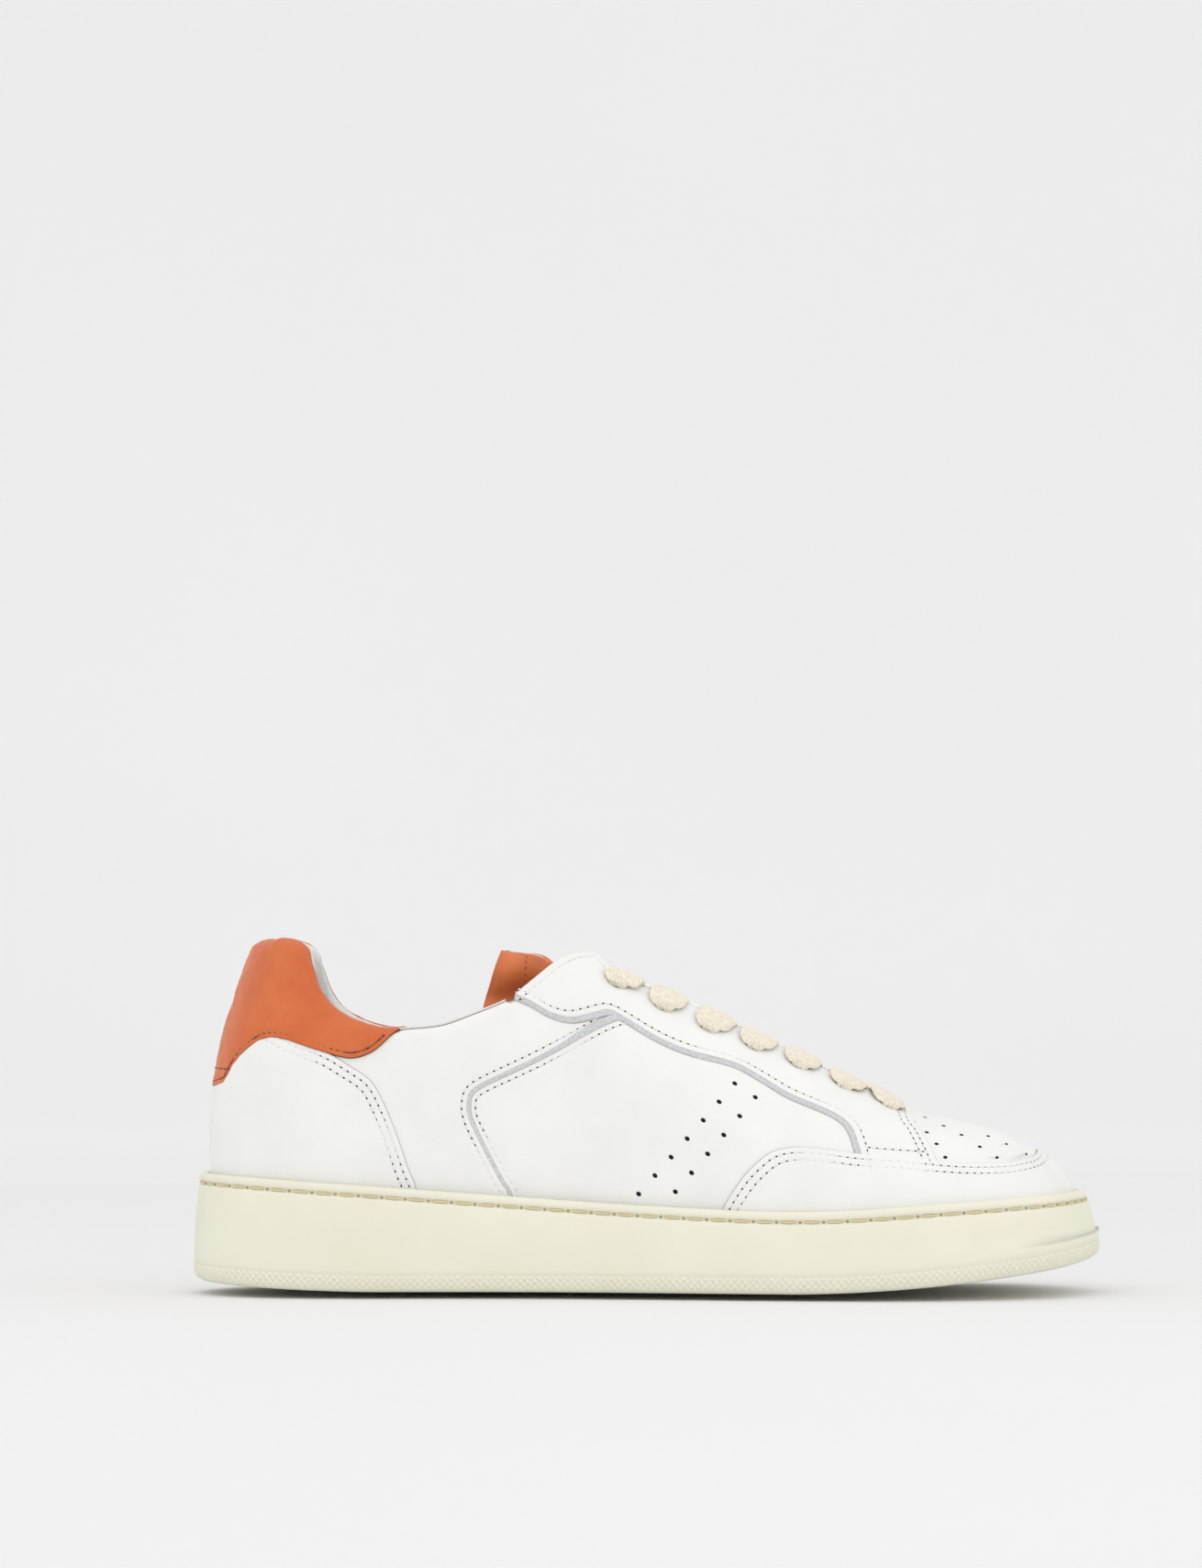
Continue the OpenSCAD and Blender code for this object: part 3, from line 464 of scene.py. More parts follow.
def panel(name, chart, outline, depth, thickness, materials, grooves=(), holes=(), relief=None, spacing=2.4):
    """A closed leather panel.  outline is a closed polygon in the chart, depth a number or a function of
    chart points, and holes a list of (centre, radius).  Faces: 0 on top, 1 on the cut edge, 2 in the holes, which
    are shallow pits whose walls and floor take the third material, painted shade of a hole through the leather."""
    polygon = outline if signed_area(outline) > 0 else outline[::-1]
    low, high = polygon.min(0), polygon.max(0)
    gx, gy = np.meshgrid(np.arange(low[0], high[0], spacing), np.arange(low[1], high[1], spacing * 0.87),
                         indexing="ij")
    gx = gx + (np.arange(gx.shape[1]) % 2) * spacing / 2
    grid = np.stack([gx.ravel(), gy.ravel()], 1)
    grid = grid[is_inside(grid, polygon)]
    grid = grid[distance(grid, polygon, True) > EDGE_CLEAR]
    extra = []
    for by in EDGE_RINGS:
        ring = offset_rings(polygon, by)
        ring = ring[is_inside(ring, polygon)]
        extra.append(ring[distance(ring, polygon, True) > 0.85 * by])
    for line in grooves:
        fine = resample(line, 1.25)
        band = np.concatenate([fine] + [offset(fine, w) for w in GROOVE_LINES])
        band = band[is_inside(band, polygon)]
        extra.append(band[distance(band, polygon, True) > 0.5])
        grid = grid[distance(grid, line) > GROOVE_CLEAR]
    rims = []
    for centre, radius in holes:
        scale = local_scale(chart, centre)
        rims.append(centre + circle(np.zeros(2), radius) / scale)
        extra.append(centre + circle(np.zeros(2), radius * 1.7) / scale)
        grid = grid[np.linalg.norm(grid - centre, axis=1) > radius * HOLE_CLEAR]
    loops = [polygon] + rims
    for rim in rims:
        extra = [e[np.linalg.norm(e - rim.mean(0), axis=1) > 1.02 * np.linalg.norm(rim - rim.mean(0), axis=1).max()]
                 for e in extra]
    points = np.concatenate(loops + extra + [grid])
    edges, at = [], 0
    for loop in loops:
        edges += [(at + i, at + (i + 1) % len(loop)) for i in range(len(loop))]
        at += len(loop)
    flat, _, triangles, origin, _, _ = delaunay_2d_cdt([Vector(p) for p in points.tolist()], edges, [], 0, 1e-5)
    flat = np.array([[p[0], p[1]] for p in flat])
    triangles = np.array([t for t in triangles if len(t) == 3])
    middle = flat[triangles].mean(1)
    keep = is_inside(middle, polygon)
    for rim in rims:
        keep &= ~is_inside(middle, rim)
    triangles = triangles[keep]
    number = {}
    for i, sources in enumerate(origin):
        for s in sources:
            number[s] = i
    used = np.unique(triangles)
    renumber = np.full(len(flat), -1)
    renumber[used] = np.arange(len(used))
    flat, triangles = flat[used], renumber[triangles]
    a, b, c = (flat[triangles[:, k]] for k in range(3))
    turned = np.cross(b - a, c - a) < 0
    triangles[turned] = triangles[turned][:, ::-1]

    base = depth(flat) if callable(depth) else np.full(len(flat), float(depth))
    drop = np.clip(1 - distance(flat, polygon, True) / EDGE_WIDTH, 0, 1) ** 2 * EDGE_DROP
    for line in grooves:
        drop = drop + GROOVE_DEPTH * np.exp(-(distance(flat, line) / GROOVE_WIDTH) ** 2)
    top_depth = base + drop
    if relief is not None:
        top_depth = top_depth - relief(flat, chart.place(flat, base))
    top = chart.place(flat, top_depth)
    n = len(flat)
    border = [renumber[number[i]] for i in range(len(polygon))]
    along_edge = unit(np.roll(polygon, -1, 0) - np.roll(polygon, 1, 0))
    foot = flat.copy()
    foot[border] += EDGE_LEAN * along_edge[:, ::-1] * [1, -1]
    bottom = chart.place(foot, base + thickness)
    faces = [t for t in triangles] + [t[::-1] + n for t in triangles]
    kinds = [0] * len(triangles) + [1] * len(triangles)
    extra_points, extra_flat, at, count = [], [], len(polygon), 2 * n
    # the cut edge's walls, in the second material; for the white panels its grey is partly the cut leather's own
    # colour and partly painted shade along the panel's step
    for i, here in enumerate(border):
        there = border[(i + 1) % len(border)]
        if here != there and here >= 0 and there >= 0:
            faces.append([here, here + n, there + n, there])
            kinds.append(1)
    for rim in rims:
        ids = [renumber[number[at + i]] for i in range(len(rim))]
        at += len(rim)
        # each hole is a shallow blind pit; its walls and floor take the third material, a dark colour that paints
        # the shadow of a hole through the leather
        inner = rim.mean(0) + 0.92 * (rim - rim.mean(0))
        floor = chart.place(inner, base[ids] + min(HOLE_DEPTH, thickness * 0.85))
        extra_points.append(floor)
        extra_flat.append(inner)
        for i in range(len(ids)):
            j = (i + 1) % len(ids)
            faces.append([ids[i], ids[j], count + j, count + i])
            kinds.append(2)
        faces.append([count + i for i in range(len(ids))])
        kinds.append(2)
        faces.append([i + n for i in ids[::-1]])
        kinds.append(1)
        count += len(ids)
    points = np.concatenate([top, bottom] + extra_points)
    uvs = np.concatenate([flat, flat] + extra_flat)
    return make_object(name, points, faces, materials, kinds, uvs)


def sheet_grid(name, outer, inner, materials):
    """A closed sheet between two grids of points."""
    ni, nj = outer.shape[:2]
    n = ni * nj
    index = np.arange(n).reshape(ni, nj)
    a, b = index[:-1, :-1].ravel(), index[:-1, 1:].ravel()
    c, d = index[1:, 1:].ravel(), index[1:, :-1].ravel()
    faces = np.stack([a, d, c, b], 1).tolist() + (np.stack([a, b, c, d], 1) + n).tolist()
    rim = np.concatenate([index[0, :], index[1:, -1], index[-1, -2::-1], index[-2:0:-1, 0]])
    for i, here in enumerate(rim):
        there = rim[(i + 1) % len(rim)]
        faces.append([here, there, there + n, here + n])
    rows_length = arc_lengths(outer[:, nj // 2])
    columns_length = arc_lengths(outer[ni // 2])
    uv = np.stack(np.meshgrid(rows_length, columns_length, indexing="ij"), 2).reshape(-1, 2)
    points = np.concatenate([outer.reshape(-1, 3), inner.reshape(-1, 3)])
    return make_object(name, points, faces, materials, uvs=np.concatenate([uv, uv]))


def tube_faces(n, m):
    """The numbers of the points of n rings of m points, and the four-sided faces between the rings."""
    index = np.arange(n * m).reshape(n, m)
    a, b = index[:-1], np.roll(index[:-1], -1, 1)
    c, d = np.roll(index[1:], -1, 1), index[1:]
    return index, np.stack([a, b, c, d], 2).reshape(-1, 4)


def loft(name, rings, materials, caps=True):
    """A solid lofted through closed rings, each an array of the same number of points."""
    n, m = len(rings), len(rings[0])
    index, walls = tube_faces(n, m)
    faces = walls.tolist()
    if caps:
        for ring, turn in ((index[0], True), (index[-1], False)):
            for i in range(m // 2):
                quad = [ring[i], ring[i + 1], ring[(m - i - 1) % m], ring[(m - i) % m]]
                faces.append(list(dict.fromkeys(quad[::-1] if turn else quad)))
    around = arc_lengths(np.vstack([rings[0], rings[0][:1]]))[:-1]
    up = np.concatenate([[0], np.cumsum([np.linalg.norm(rings[i + 1] - rings[i], axis=1).mean()
                                         for i in range(n - 1)])])
    uv = np.stack([np.tile(around, n), np.repeat(up, m)], 1)
    return make_object(name, np.concatenate(rings), faces, materials, uvs=uv)


THREAD = 0.27  # half a stitch's width
# along a stitch, as shares of its pitch: the places of its rings, and there their height and size
STITCH_SPANS = np.array([0.15, 0.26, 0.5, 0.74, 0.85])
STITCH_LIFT, STITCH_SIZE = np.array([-0.22, 0.06, 0.15, 0.06, -0.22]), np.array([0.55, 0.95, 1.0, 0.95, 0.55])


def seam_frames(surface, out, s, where):
    """Points at those lengths of a seam, with the ways out of the surface, along the seam and across it."""
    def at(values, lengths):
        return np.stack([np.interp(lengths, s, values[:, k]) for k in range(3)], -1)

    n = unit(at(out, where))
    t = unit(at(surface, where + 0.2) - at(surface, where - 0.2))
    return at(surface, where), n, t, np.cross(n, t)


def stitching(name, rows_of_stitches, materials, slot, pitch=2.5, thread=THREAD):
    """Rows of short stitches in their grooves, with a disc at the needle's hole between each two; the disc takes the
    second material, which for the white and brown threads is painted shade of the hole.
    rows_of_stitches lists (chart, line in the chart, depth)."""
    points, faces, kinds, at = [], [], [], 0
    sides, spans, size = 6, STITCH_SPANS, thread * STITCH_SIZE
    for chart, line, depth in rows_of_stitches:
        fine = resample(line, 0.3)
        base = depth(fine) if callable(depth) else depth
        surface = chart.place(fine, base + GROOVE_DEPTH)
        out = unit(chart.place(fine, base - 0.5) - surface)
        s = arc_lengths(surface)
        count = max(1, int(round(s[-1] / pitch)))
        gap = s[-1] / count
        p, n, _, b = seam_frames(surface, out, s, (np.arange(count)[:, None] + spans[None, :]) * gap)
        p = p + STITCH_LIFT[None, :, None] * n
        a = np.linspace(0, 2 * math.pi, sides, endpoint=False)
        ring = p[:, :, None] + size[None, :, None, None] * (
            np.cos(a)[None, None, :, None] * b[:, :, None] + 0.8 * np.sin(a)[None, None, :, None] * n[:, :, None])
        points.append(ring.reshape(-1, 3))
        for i in range(count):
            first = at + i * len(spans) * sides
            for k in range(len(spans) - 1):
                for j in range(sides):
                    e, f = first + k * sides, (j + 1) % sides
                    faces.append([e + j, e + f, e + sides + f, e + sides + j])
            faces.append([first + j for j in range(sides)][::-1])
            faces.append([first + (len(spans) - 1) * sides + j for j in range(sides)])
            kinds += [0] * ((len(spans) - 1) * sides + 2)
        at += count * len(spans) * sides
        # the discs at the needle holes, in the second material: painted shade of the holes for the white and brown
        # threads
        p, n, t, b = (v[:, None] for v in seam_frames(surface, out, s, np.arange(count + 1) * gap))
        oval = 1.7 * thread * np.cos(a)[None, :, None] * t + 1.1 * thread * np.sin(a)[None, :, None] * b
        discs = np.concatenate([p + oval + 0.03 * n, p + 0.8 * oval - 0.3 * n], 1)
        points.append(discs.reshape(-1, 3))
        for i in range(count + 1):
            first = at + i * 2 * sides
            faces.append([first + j for j in range(sides)])
            faces.append([first + sides + j for j in range(sides)][::-1])
            for j in range(sides):
                f = (j + 1) % sides
                faces.append([first + j, first + sides + j, first + sides + f, first + f])
            kinds += [1] * (sides + 2)
        at += (count + 1) * 2 * sides
    obj = make_object(name, np.concatenate(points), faces, materials, kinds)
    return belongs(obj, slot)


# ---- materials ----
def linear(r, g, b):
    """A colour given as it is seen, 0 to 255, in the shader's linear values."""
    return tuple((c / 255 / 12.92) if c / 255 <= 0.04045 else ((c / 255 + 0.055) / 1.055) ** 2.4 for c in (r, g, b))


class Look:
    """One procedural material and its nodes."""

    def __init__(self, name, **values):
        self.material = bpy.data.materials.new(name)
        self.material.use_nodes = True
        self.nodes, self.links = self.material.node_tree.nodes, self.material.node_tree.links
        self.bsdf = self.nodes["Principled BSDF"]
        for key, value in values.items():
            self.bsdf.inputs[key.replace("_", " ")].default_value = value

    def add(self, kind, vector=None, **settings):
        node = self.nodes.new(kind)
        for key, value in settings.items():
            if key in node.inputs.keys():
                node.inputs[key].default_value = value
            else:
                setattr(node, key, value)
        if vector:
            self.links.new(vector, node.inputs["Vector"])
        return node

    def coordinates(self, scale, source="Object", turn=0.0):
        """Texture coordinates in the given number of cells for each metre."""
        spread = self.add("ShaderNodeMapping", self.add("ShaderNodeTexCoord").outputs[source])
        spread.inputs["Scale"].default_value = scale if hasattr(scale, "__len__") else (scale,) * 3
        spread.inputs["Rotation"].default_value = (0, 0, turn)
        return spread.outputs["Vector"]

    def noise(self, scale, **settings):
        return self.add("ShaderNodeTexNoise", self.coordinates(scale), Scale=1.0, **settings).outputs["Fac"]

    def tint(self, socket, dark, light, low=0.3, high=0.7):
        """The base colour, from dark to light as the socket goes from low to high."""
        node = self.add("ShaderNodeValToRGB")
        for element, place, colour in zip(node.color_ramp.elements, (low, high), (dark, light)):
            element.position, element.color = place, (*colour, 1)
        self.links.new(socket, node.inputs["Fac"])
        self.links.new(node.outputs["Color"], self.bsdf.inputs["Base Color"])

    def bump(self, *heights):
        """Adds the heights, each (socket, strength, distance in metres), to the normal."""
        last = None
        for socket, strength, span in heights:
            node = self.add("ShaderNodeBump", Strength=strength, Distance=span)
            self.links.new(socket, node.inputs["Height"])
            if last:
                self.links.new(last, node.inputs["Normal"])
            last = node.outputs["Normal"]
        self.links.new(last, self.bsdf.inputs["Normal"])


def leather(name, dark, light, roughness=0.46, grain=1500.0, depth=0.00004, mottle=45.0, coat=0.05, crease=0.0):
    look = Look(name, Coat_Weight=coat, Coat_Roughness=0.35, Specular_IOR_Level=0.4)
    look.tint(look.noise(mottle, Detail=4.0, Roughness=0.55), dark, light)
    cells = look.add("ShaderNodeTexVoronoi", look.coordinates(grain), Scale=1.0, Randomness=1.0,
                     feature="SMOOTH_F1")
    pores = look.noise(grain * 0.4, Detail=6.0, Roughness=0.65)
    heights = [(cells.outputs["Distance"], 0.25, depth), (pores, 0.35, depth * 2)]
    if crease:
        heights.append((look.noise((140, 90, 320), Detail=3.0, Distortion=1.2), crease, 0.0005))
    look.bump(*heights)
    rough = look.add("ShaderNodeMapRange")
    rough.inputs["To Min"].default_value, rough.inputs["To Max"].default_value = roughness - 0.06, roughness + 0.08
    look.links.new(pores, rough.inputs["Value"])
    look.links.new(rough.outputs["Result"], look.bsdf.inputs["Roughness"])
    return look.material


def fibre(name, dark, light, scale=1400.0, depth=0.0002, sheen=0.3):
    """Suede, raw edges, felt and foam: matt, with a short nap."""
    look = Look(name, Roughness=0.95, Sheen_Weight=sheen, Sheen_Roughness=0.6)
    nap = look.noise(scale, Detail=5.0, Roughness=0.75)
    look.tint(nap, dark, light, 0.32, 0.68)
    look.bump((nap, 0.7, depth))
    return look.material


BAND_PERIOD = math.pi / 10  # one turn of a band texture, in its own units


def woven(name, dark, light, threads=1300.0, depth=0.00012, source="UV", skew=0.0):
    """Cloth: two sets of threads that cross, that many for each metre."""
    look = Look(name, Roughness=0.9, Sheen_Weight=0.2)
    cross = look.add("ShaderNodeMath", operation="MULTIPLY")
    for axis, socket in zip("XY", cross.inputs):
        place = look.coordinates(threads * BAND_PERIOD, source, skew)
        wave = look.add("ShaderNodeTexWave", place, wave_type="BANDS", bands_direction=axis, wave_profile="SIN",
                        Scale=1.0, Distortion=0.6, Detail=1.0)
        look.links.new(wave.outputs["Fac"], socket)
    fuzz = look.noise(700, Detail=3.0)
    both = look.add("ShaderNodeMath", operation="MULTIPLY_ADD")
    look.links.new(cross.outputs[0], both.inputs[0])
    both.inputs[1].default_value = 0.6
    look.links.new(fuzz, both.inputs[2])
    look.tint(both.outputs[0], dark, light, 0.3, 0.85)
    look.bump((cross.outputs[0], 0.8, depth), (fuzz, 0.3, depth))
    return look.material


def rubber(name, dark, light):
    look = Look(name, Roughness=0.55, Specular_IOR_Level=0.35, Subsurface_Weight=0.05,
                Subsurface_Radius=(0.004, 0.003, 0.002))
    look.tint(look.noise(30, Detail=4.0), dark, light)
    look.bump((look.noise(1800, Detail=6.0, Roughness=0.7), 0.35, 0.00005))
    return look.material


def plain(name, colour, roughness):
    look = Look(name, Roughness=roughness)
    cloud = look.noise(400, Detail=3.0)
    look.tint(cloud, tuple(c * 0.85 for c in colour), colour)
    look.bump((cloud, 0.2, 0.00005))
    return look.material


WHITE = leather("leather_white", linear(238, 238, 235), linear(244, 244, 242), 0.42)
TAN = leather("leather_tan", linear(206, 97, 44), linear(220, 115, 58), 0.44, grain=1300.0, depth=0.00006,
              mottle=70.0, coat=0.12, crease=0.35)
TAN_TONGUE = leather("leather_tan_tongue", linear(210, 108, 58), linear(224, 126, 74), 0.5, grain=1300.0,
                     depth=0.00006, mottle=90.0, coat=0.08, crease=0.3)
# cut edges of the white leather: the grey is partly the cut fibre's own colour and partly painted shade, darkened to
# show the thin shadow line along each panel's step
RAW_EDGE_AND_SHADE = fibre("raw_edge_and_painted_shade", linear(176, 176, 176), linear(214, 214, 213), scale=2200.0)
TAN_EDGE = fibre("tan_edge", linear(110, 52, 28), linear(150, 78, 44), scale=2200.0, sheen=0.0)
SUEDE = fibre("suede_grey", linear(176, 178, 180), linear(236, 237, 238), scale=2000.0, depth=0.0003)
# painted shade: the dark grey stands in for the shadow inside the needle holes of the white stitching
NEEDLE_HOLE_SHADE = plain("needle_hole_painted_shade", linear(72, 72, 78), 0.9)
# painted shade: near-black walls and floors of the shallow punched pits, standing in for the shadow of holes through
# the leather
PUNCHED_HOLE_SHADE = plain("punched_hole_painted_shade", linear(38, 40, 46), 0.9)
# painted shade: the dark brown stands in for the shadow inside the needle holes of the brown stitching
BROWN_NEEDLE_HOLE_SHADE = plain("brown_needle_hole_painted_shade", linear(84, 36, 18), 0.9)
WHITE_THREAD = fibre("thread_white", linear(232, 232, 230), linear(246, 246, 244), scale=3000.0, depth=0.0001)
BROWN_THREAD = fibre("thread_brown", linear(120, 56, 30), linear(160, 84, 50), scale=3000.0, depth=0.0001)
SOLE_THREAD = fibre("thread_tan", linear(214, 196, 146), linear(234, 220, 180), scale=3000.0, depth=0.0001)
SOLE_HOLE = plain("sole_stitch_hole", linear(190, 172, 124), 0.9)
RUBBER = rubber("rubber_cream", linear(234, 231, 211), linear(239, 237, 219))
LINING = woven("lining_fabric", linear(222, 222, 218), linear(240, 240, 237), threads=1500.0)
LACE = woven("lace_cotton", linear(226, 212, 186), linear(250, 243, 228), threads=1100.0, depth=0.00016, skew=0.785)
TIP = plain("tip_plastic", linear(235, 235, 232), 0.3)
FOAM = fibre("foam", linear(205, 196, 160), linear(226, 218, 186), scale=900.0, sheen=0.0)
BOARD = fibre("board", linear(172, 142, 104), linear(196, 168, 130), scale=700.0, sheen=0.0)
FOOTBED = woven("footbed_fabric", linear(226, 222, 210), linear(240, 237, 228), threads=1200.0, source="Object")
PANEL = [WHITE, RAW_EDGE_AND_SHADE, PUNCHED_HOLE_SHADE]
PATCH = [TAN, TAN_EDGE, PUNCHED_HOLE_SHADE]


# ---- outlines, as (u, v) on the outer side ----
PATCH_LOW = rows([[0, 0.352], [0.35, 0.355]], from_side(
    (-137.4, 65.4), (-135.4, 66.4), (-133.2, 70.3), (-130, 74.6), (-125.2, 78.5), (-121.4, 80.1), (-116, 79.9),
    (-106.5, 76.9), (-97.8, 74.4), (-93, 73.9), (-87.6, 75.7), (-83.3, 79.2), (-80.4, 82.4), (-78.6, 83.9)))
HEEL_FRONT = rows([[0, 0.42], [0.6, 0.45], [1.1, 0.5]], from_side(
    (-127, 84), (-120, 83.5), (-112, 79.4), (-102.1, 75.6), (-94.8, 71.3), (-87.6, 66.1), (-83.2, 58.3),
    (-79.4, 49), (-75.7, 38.2), (-73.6, 32.7)), foot_at(-72))
REAR_FRONT = rows(from_side(
    (-8, 87.8), (-13.5, 85.9), (-19.3, 83), (-30.9, 76.6), (-42.5, 70.8), (-52.6, 65.9), (-56.4, 63), (-57.4, 59),
    (-56.7, 54.3), (-52.6, 45.6), (-46.8, 34.5), (-44.5, 30.5)), foot_at(-42))
STAY_LOW = from_side(
    (-42, 94), (-36.8, 91.6), (-30.9, 88.2), (-24.5, 86.7), (-18, 88), (-12.5, 89.2), (-7.6, 87), (2.6, 80.9),
    (13, 76.4), (27.3, 72.5), (36, 68), (44.5, 62.9), (55.6, 58.2), (61.5, 55), (64.5, 51.5), (66.3, 46),
    (67, 42), (67.5, 38))
STAY_BACK = from_side((-42, 94.1), (-38.5, 97.2), (-31, 103.4), (-24.5, 107), (-19.3, 107.7), (-15.5, 107.2))
THROAT = rows(from_side((-15.5, 107.2)), from_above(
    (-10, -17), (5, -15.5), (21, -14.8), (36, -14), (51, -13), (66, -12)))
THROAT_END = from_above((66, -12), (73, -10.8), (77, -8.5), (79, -4.5), (79.4, -0.4))
STAY_FRONT = rows(from_above((83.6, -0.4), (83.8, -4)), from_side(
    (84.3, 54.8), (86.3, 51.6), (88.4, 47.4), (90, 43.6), (91.6, 38)))
GUARD_TOP = rows(foot_at(20), from_side(
    (23.2, 25.5), (25.4, 30), (29.6, 36.2), (34.1, 40.9), (39, 44.4), (46, 45.8), (55.7, 45.2), (65.8, 43.9),
    (81.6, 42.6), (99.7, 40.9), (112, 40.8), (120, 41.7)), [[12, 0.602]])


SIDE_NAME = {-1: "lateral", 1: "medial"}


def on_side(uv, side):
    """(u, v) points of the outer side, on that side of the shoe."""
    return uv if side < 0 else np.stack([LOOP - uv[:, 0], uv[:, 1]], 1)


def laid(uv, side=-1, over=None):
    """Chart coordinates of (u, v) points on that side of the shoe."""
    return PATTERN.flat(on_side(uv, side), over)


def over_collar(u, over, side=-1):
    """Chart coordinates of points that many radians over the collar's roll, at the stations u."""
    return laid(np.stack([u, np.zeros(len(u))], 1), side, over)


def line(uv, side=-1, step=1.0):
    return smooth_run(laid(uv, side), step)


def closed(*runs):
    """One polygon out of runs that follow each other; a point shared by two runs is kept once."""
    points = np.concatenate(runs)
    keep = np.linalg.norm(points - np.roll(points, 1, 0), axis=1) > 0.05
    return points[keep]


def straight(*points, step=1.5):
    fine = [resample(np.array([a, b], float), step)[:-1] for a, b in zip(points[:-1], points[1:])]
    return np.concatenate(fine + [np.array([points[-1]], float)])


def collar_line(from_u, to_u, over, side=-1, n=60):
    return over_collar(np.linspace(from_u, to_u, n), over, side)


def mirrored_heel(points):
    """The same chart line on the inner side of the heel."""
    return points * [-1, 1]


HEEL_GAP = 0.3  # an outline's points nearer than this to the heel's middle are left out


def round_heel(half):
    """A closed outline round the heel from its outer half."""
    half = half[half[:, 0] > HEEL_GAP]
    return closed(half, mirrored_heel(half)[::-1])


def foot_line(from_x, to_x, side=-1):
    x = np.linspace(from_x, to_x, 60)
    return laid(np.concatenate([foot_at(v) for v in x]), side)


DEPTH_PATCH, DEPTH_HEEL, DEPTH_REAR, DEPTH_STAY, DEPTH_GUARD, DEPTH_TOE = 0.0, 0.3, 1.05, 0.05, 0.0, 0.9
LEATHER = 0.8


def quarter_depth(q):
    """Under the rear quarter at its back, and rising to lie just under the eyestay and mudguard."""
    x = PATTERN.place(q, 0.0)[:, 0]
    return 1.75 - 0.8 * ease((x + 40) / 34)


def unevenness(height, cells):
    """A relief of soft noise, that high, with that many cells for each millimetre."""
    return lambda q, p: np.array([height * noise.noise(Vector(v) * cells) for v in p])


swell = unevenness(0.12, 0.05)  # of stretched leather


def patch_relief(q, p):
    """Creases that fan down from the collar, and the swelling of the foam beneath."""
    value = []
    for v in p:
        w = Vector((v[0] * 0.16 + v[2] * 0.10, v[1] * 0.12, v[2] * 0.05 - v[0] * 0.03))
        value.append(0.34 * noise.noise(Vector(v) * 0.07) + 0.26 * (0.5 - abs(noise.noise(w * 1.6))) * 2)
    return np.array(value)


# ---- panels ----
ROW_INSETS = 1.7, 4.0  # of the double rows of stitches, from their panel's edge


def double_row(edge_line):
    return [clean_offset(edge_line, -inset) for inset in ROW_INSETS]


def suede_strip(name, node, inner, outer, depth, height, cells):
    """A strip between two lines, with an uneven nap."""
    strip = panel(name, PATTERN, closed(inner, outer[::-1]), depth, 0.5, [SUEDE, RAW_EDGE_AND_SHADE, NEEDLE_HOLE_SHADE], spacing=0.9,
                  relief=unevenness(height, cells))
    belongs(strip, "suede_grey", node)


def heel_panel():
    front = line(HEEL_FRONT)
    rest = foot_line(-72, -142)
    outline = round_heel(np.concatenate([front, rest[1:]]))
    rows_in = double_row(line(HEEL_FRONT[4:]))
    rows_in += [mirrored_heel(r) for r in rows_in]
    obj = panel("heel_panel_leather", PATTERN, outline, DEPTH_HEEL, LEATHER, PANEL, grooves=rows_in, relief=swell)
    belongs(obj, "leather_white", "heel_panel")
    stitching("heel_panel_stitching", [(PATTERN, r, DEPTH_HEEL) for r in rows_in], [WHITE_THREAD, NEEDLE_HOLE_SHADE],
              "leather_white")


def patch_half():
    low = line(PATCH_LOW)
    tip_u = float(PATCH_LOW[-1, 0])
    end = over_collar(np.full(8, tip_u), np.linspace(0.2, ROLL_OVER, 8))
    return low, np.concatenate([end, collar_line(tip_u, 0, ROLL_OVER)])


def heel_collar_patch():
    low, top = patch_half()
    outline = round_heel(np.concatenate([low, top]))
    row = clean_offset(low, 1.5)
    row = row[(row[:, 1] < PATTERN.shoulder_at(np.interp(row[:, 0], PATTERN.x, PATTERN.us)) + 1)]
    tail_u = np.linspace(-0.86, 0.86, 12)
    tail = np.stack([PATTERN.flat([[u, 0.3]])[0] for u in tail_u])
    tail[:, 1] = PATTERN.flat([[0, 0.402]])[0, 1]
    rows_in = [row, mirrored_heel(row)]
    obj = panel("heel_collar_leather", PATTERN, outline, DEPTH_PATCH, LEATHER, PATCH, grooves=rows_in + [tail],
                relief=patch_relief, spacing=1.8)
    belongs(obj, "leather_tan", "heel_collar_patch")
    stitching("heel_collar_stitching", [(PATTERN, r, DEPTH_PATCH) for r in rows_in + [tail]],
              [BROWN_THREAD, BROWN_NEEDLE_HOLE_SHADE], "leather_tan", pitch=2.15)


def rear_quarter(side):
    label = SIDE_NAME[side]
    back = laid(rows(foot_at(-84), from_side((-88, 45), (-92, 56), (-98, 66), (-107, 74), (-111, 82), (-104, 84),
                                             (-96, 80.5))), side)
    collar_u = float(from_side((-86, 85))[0, 0])
    up = over_collar(np.full(6, collar_u), np.linspace(0.1, ROLL_OVER, 6), side)
    collar = collar_line(collar_u, COLLAR_END - COLLAR_STOP, ROLL_OVER, side)
    hidden = laid(from_side((-39, 94), (-33, 95), (-24.5, 92.5), (-13.4, 94), (-7, 91)), side)
    front = line(REAR_FRONT, side)
    outline = closed(smooth_run(back, 1.5), up, collar, smooth_run(hidden, 1.5), front,
                     foot_line(-42, -84, side)[1:])
    row = clean_offset(front, 1.6 * side)
    obj = panel("rear_quarter_leather_" + label, PATTERN, outline, DEPTH_REAR, LEATHER, PANEL, grooves=[row],
                relief=swell)
    belongs(obj, "leather_white", "rear_quarter_" + label)
    suede_strip("quarter_strip_" + label, "quarter_edging_" + label, offset(front, 1.0 * side),
                offset(front, -1.25 * side), lambda q: quarter_depth(q) - 0.42, 0.1, 1.3)
    return [(PATTERN, row, DEPTH_REAR)], clean_offset(front, -2.9 * side)


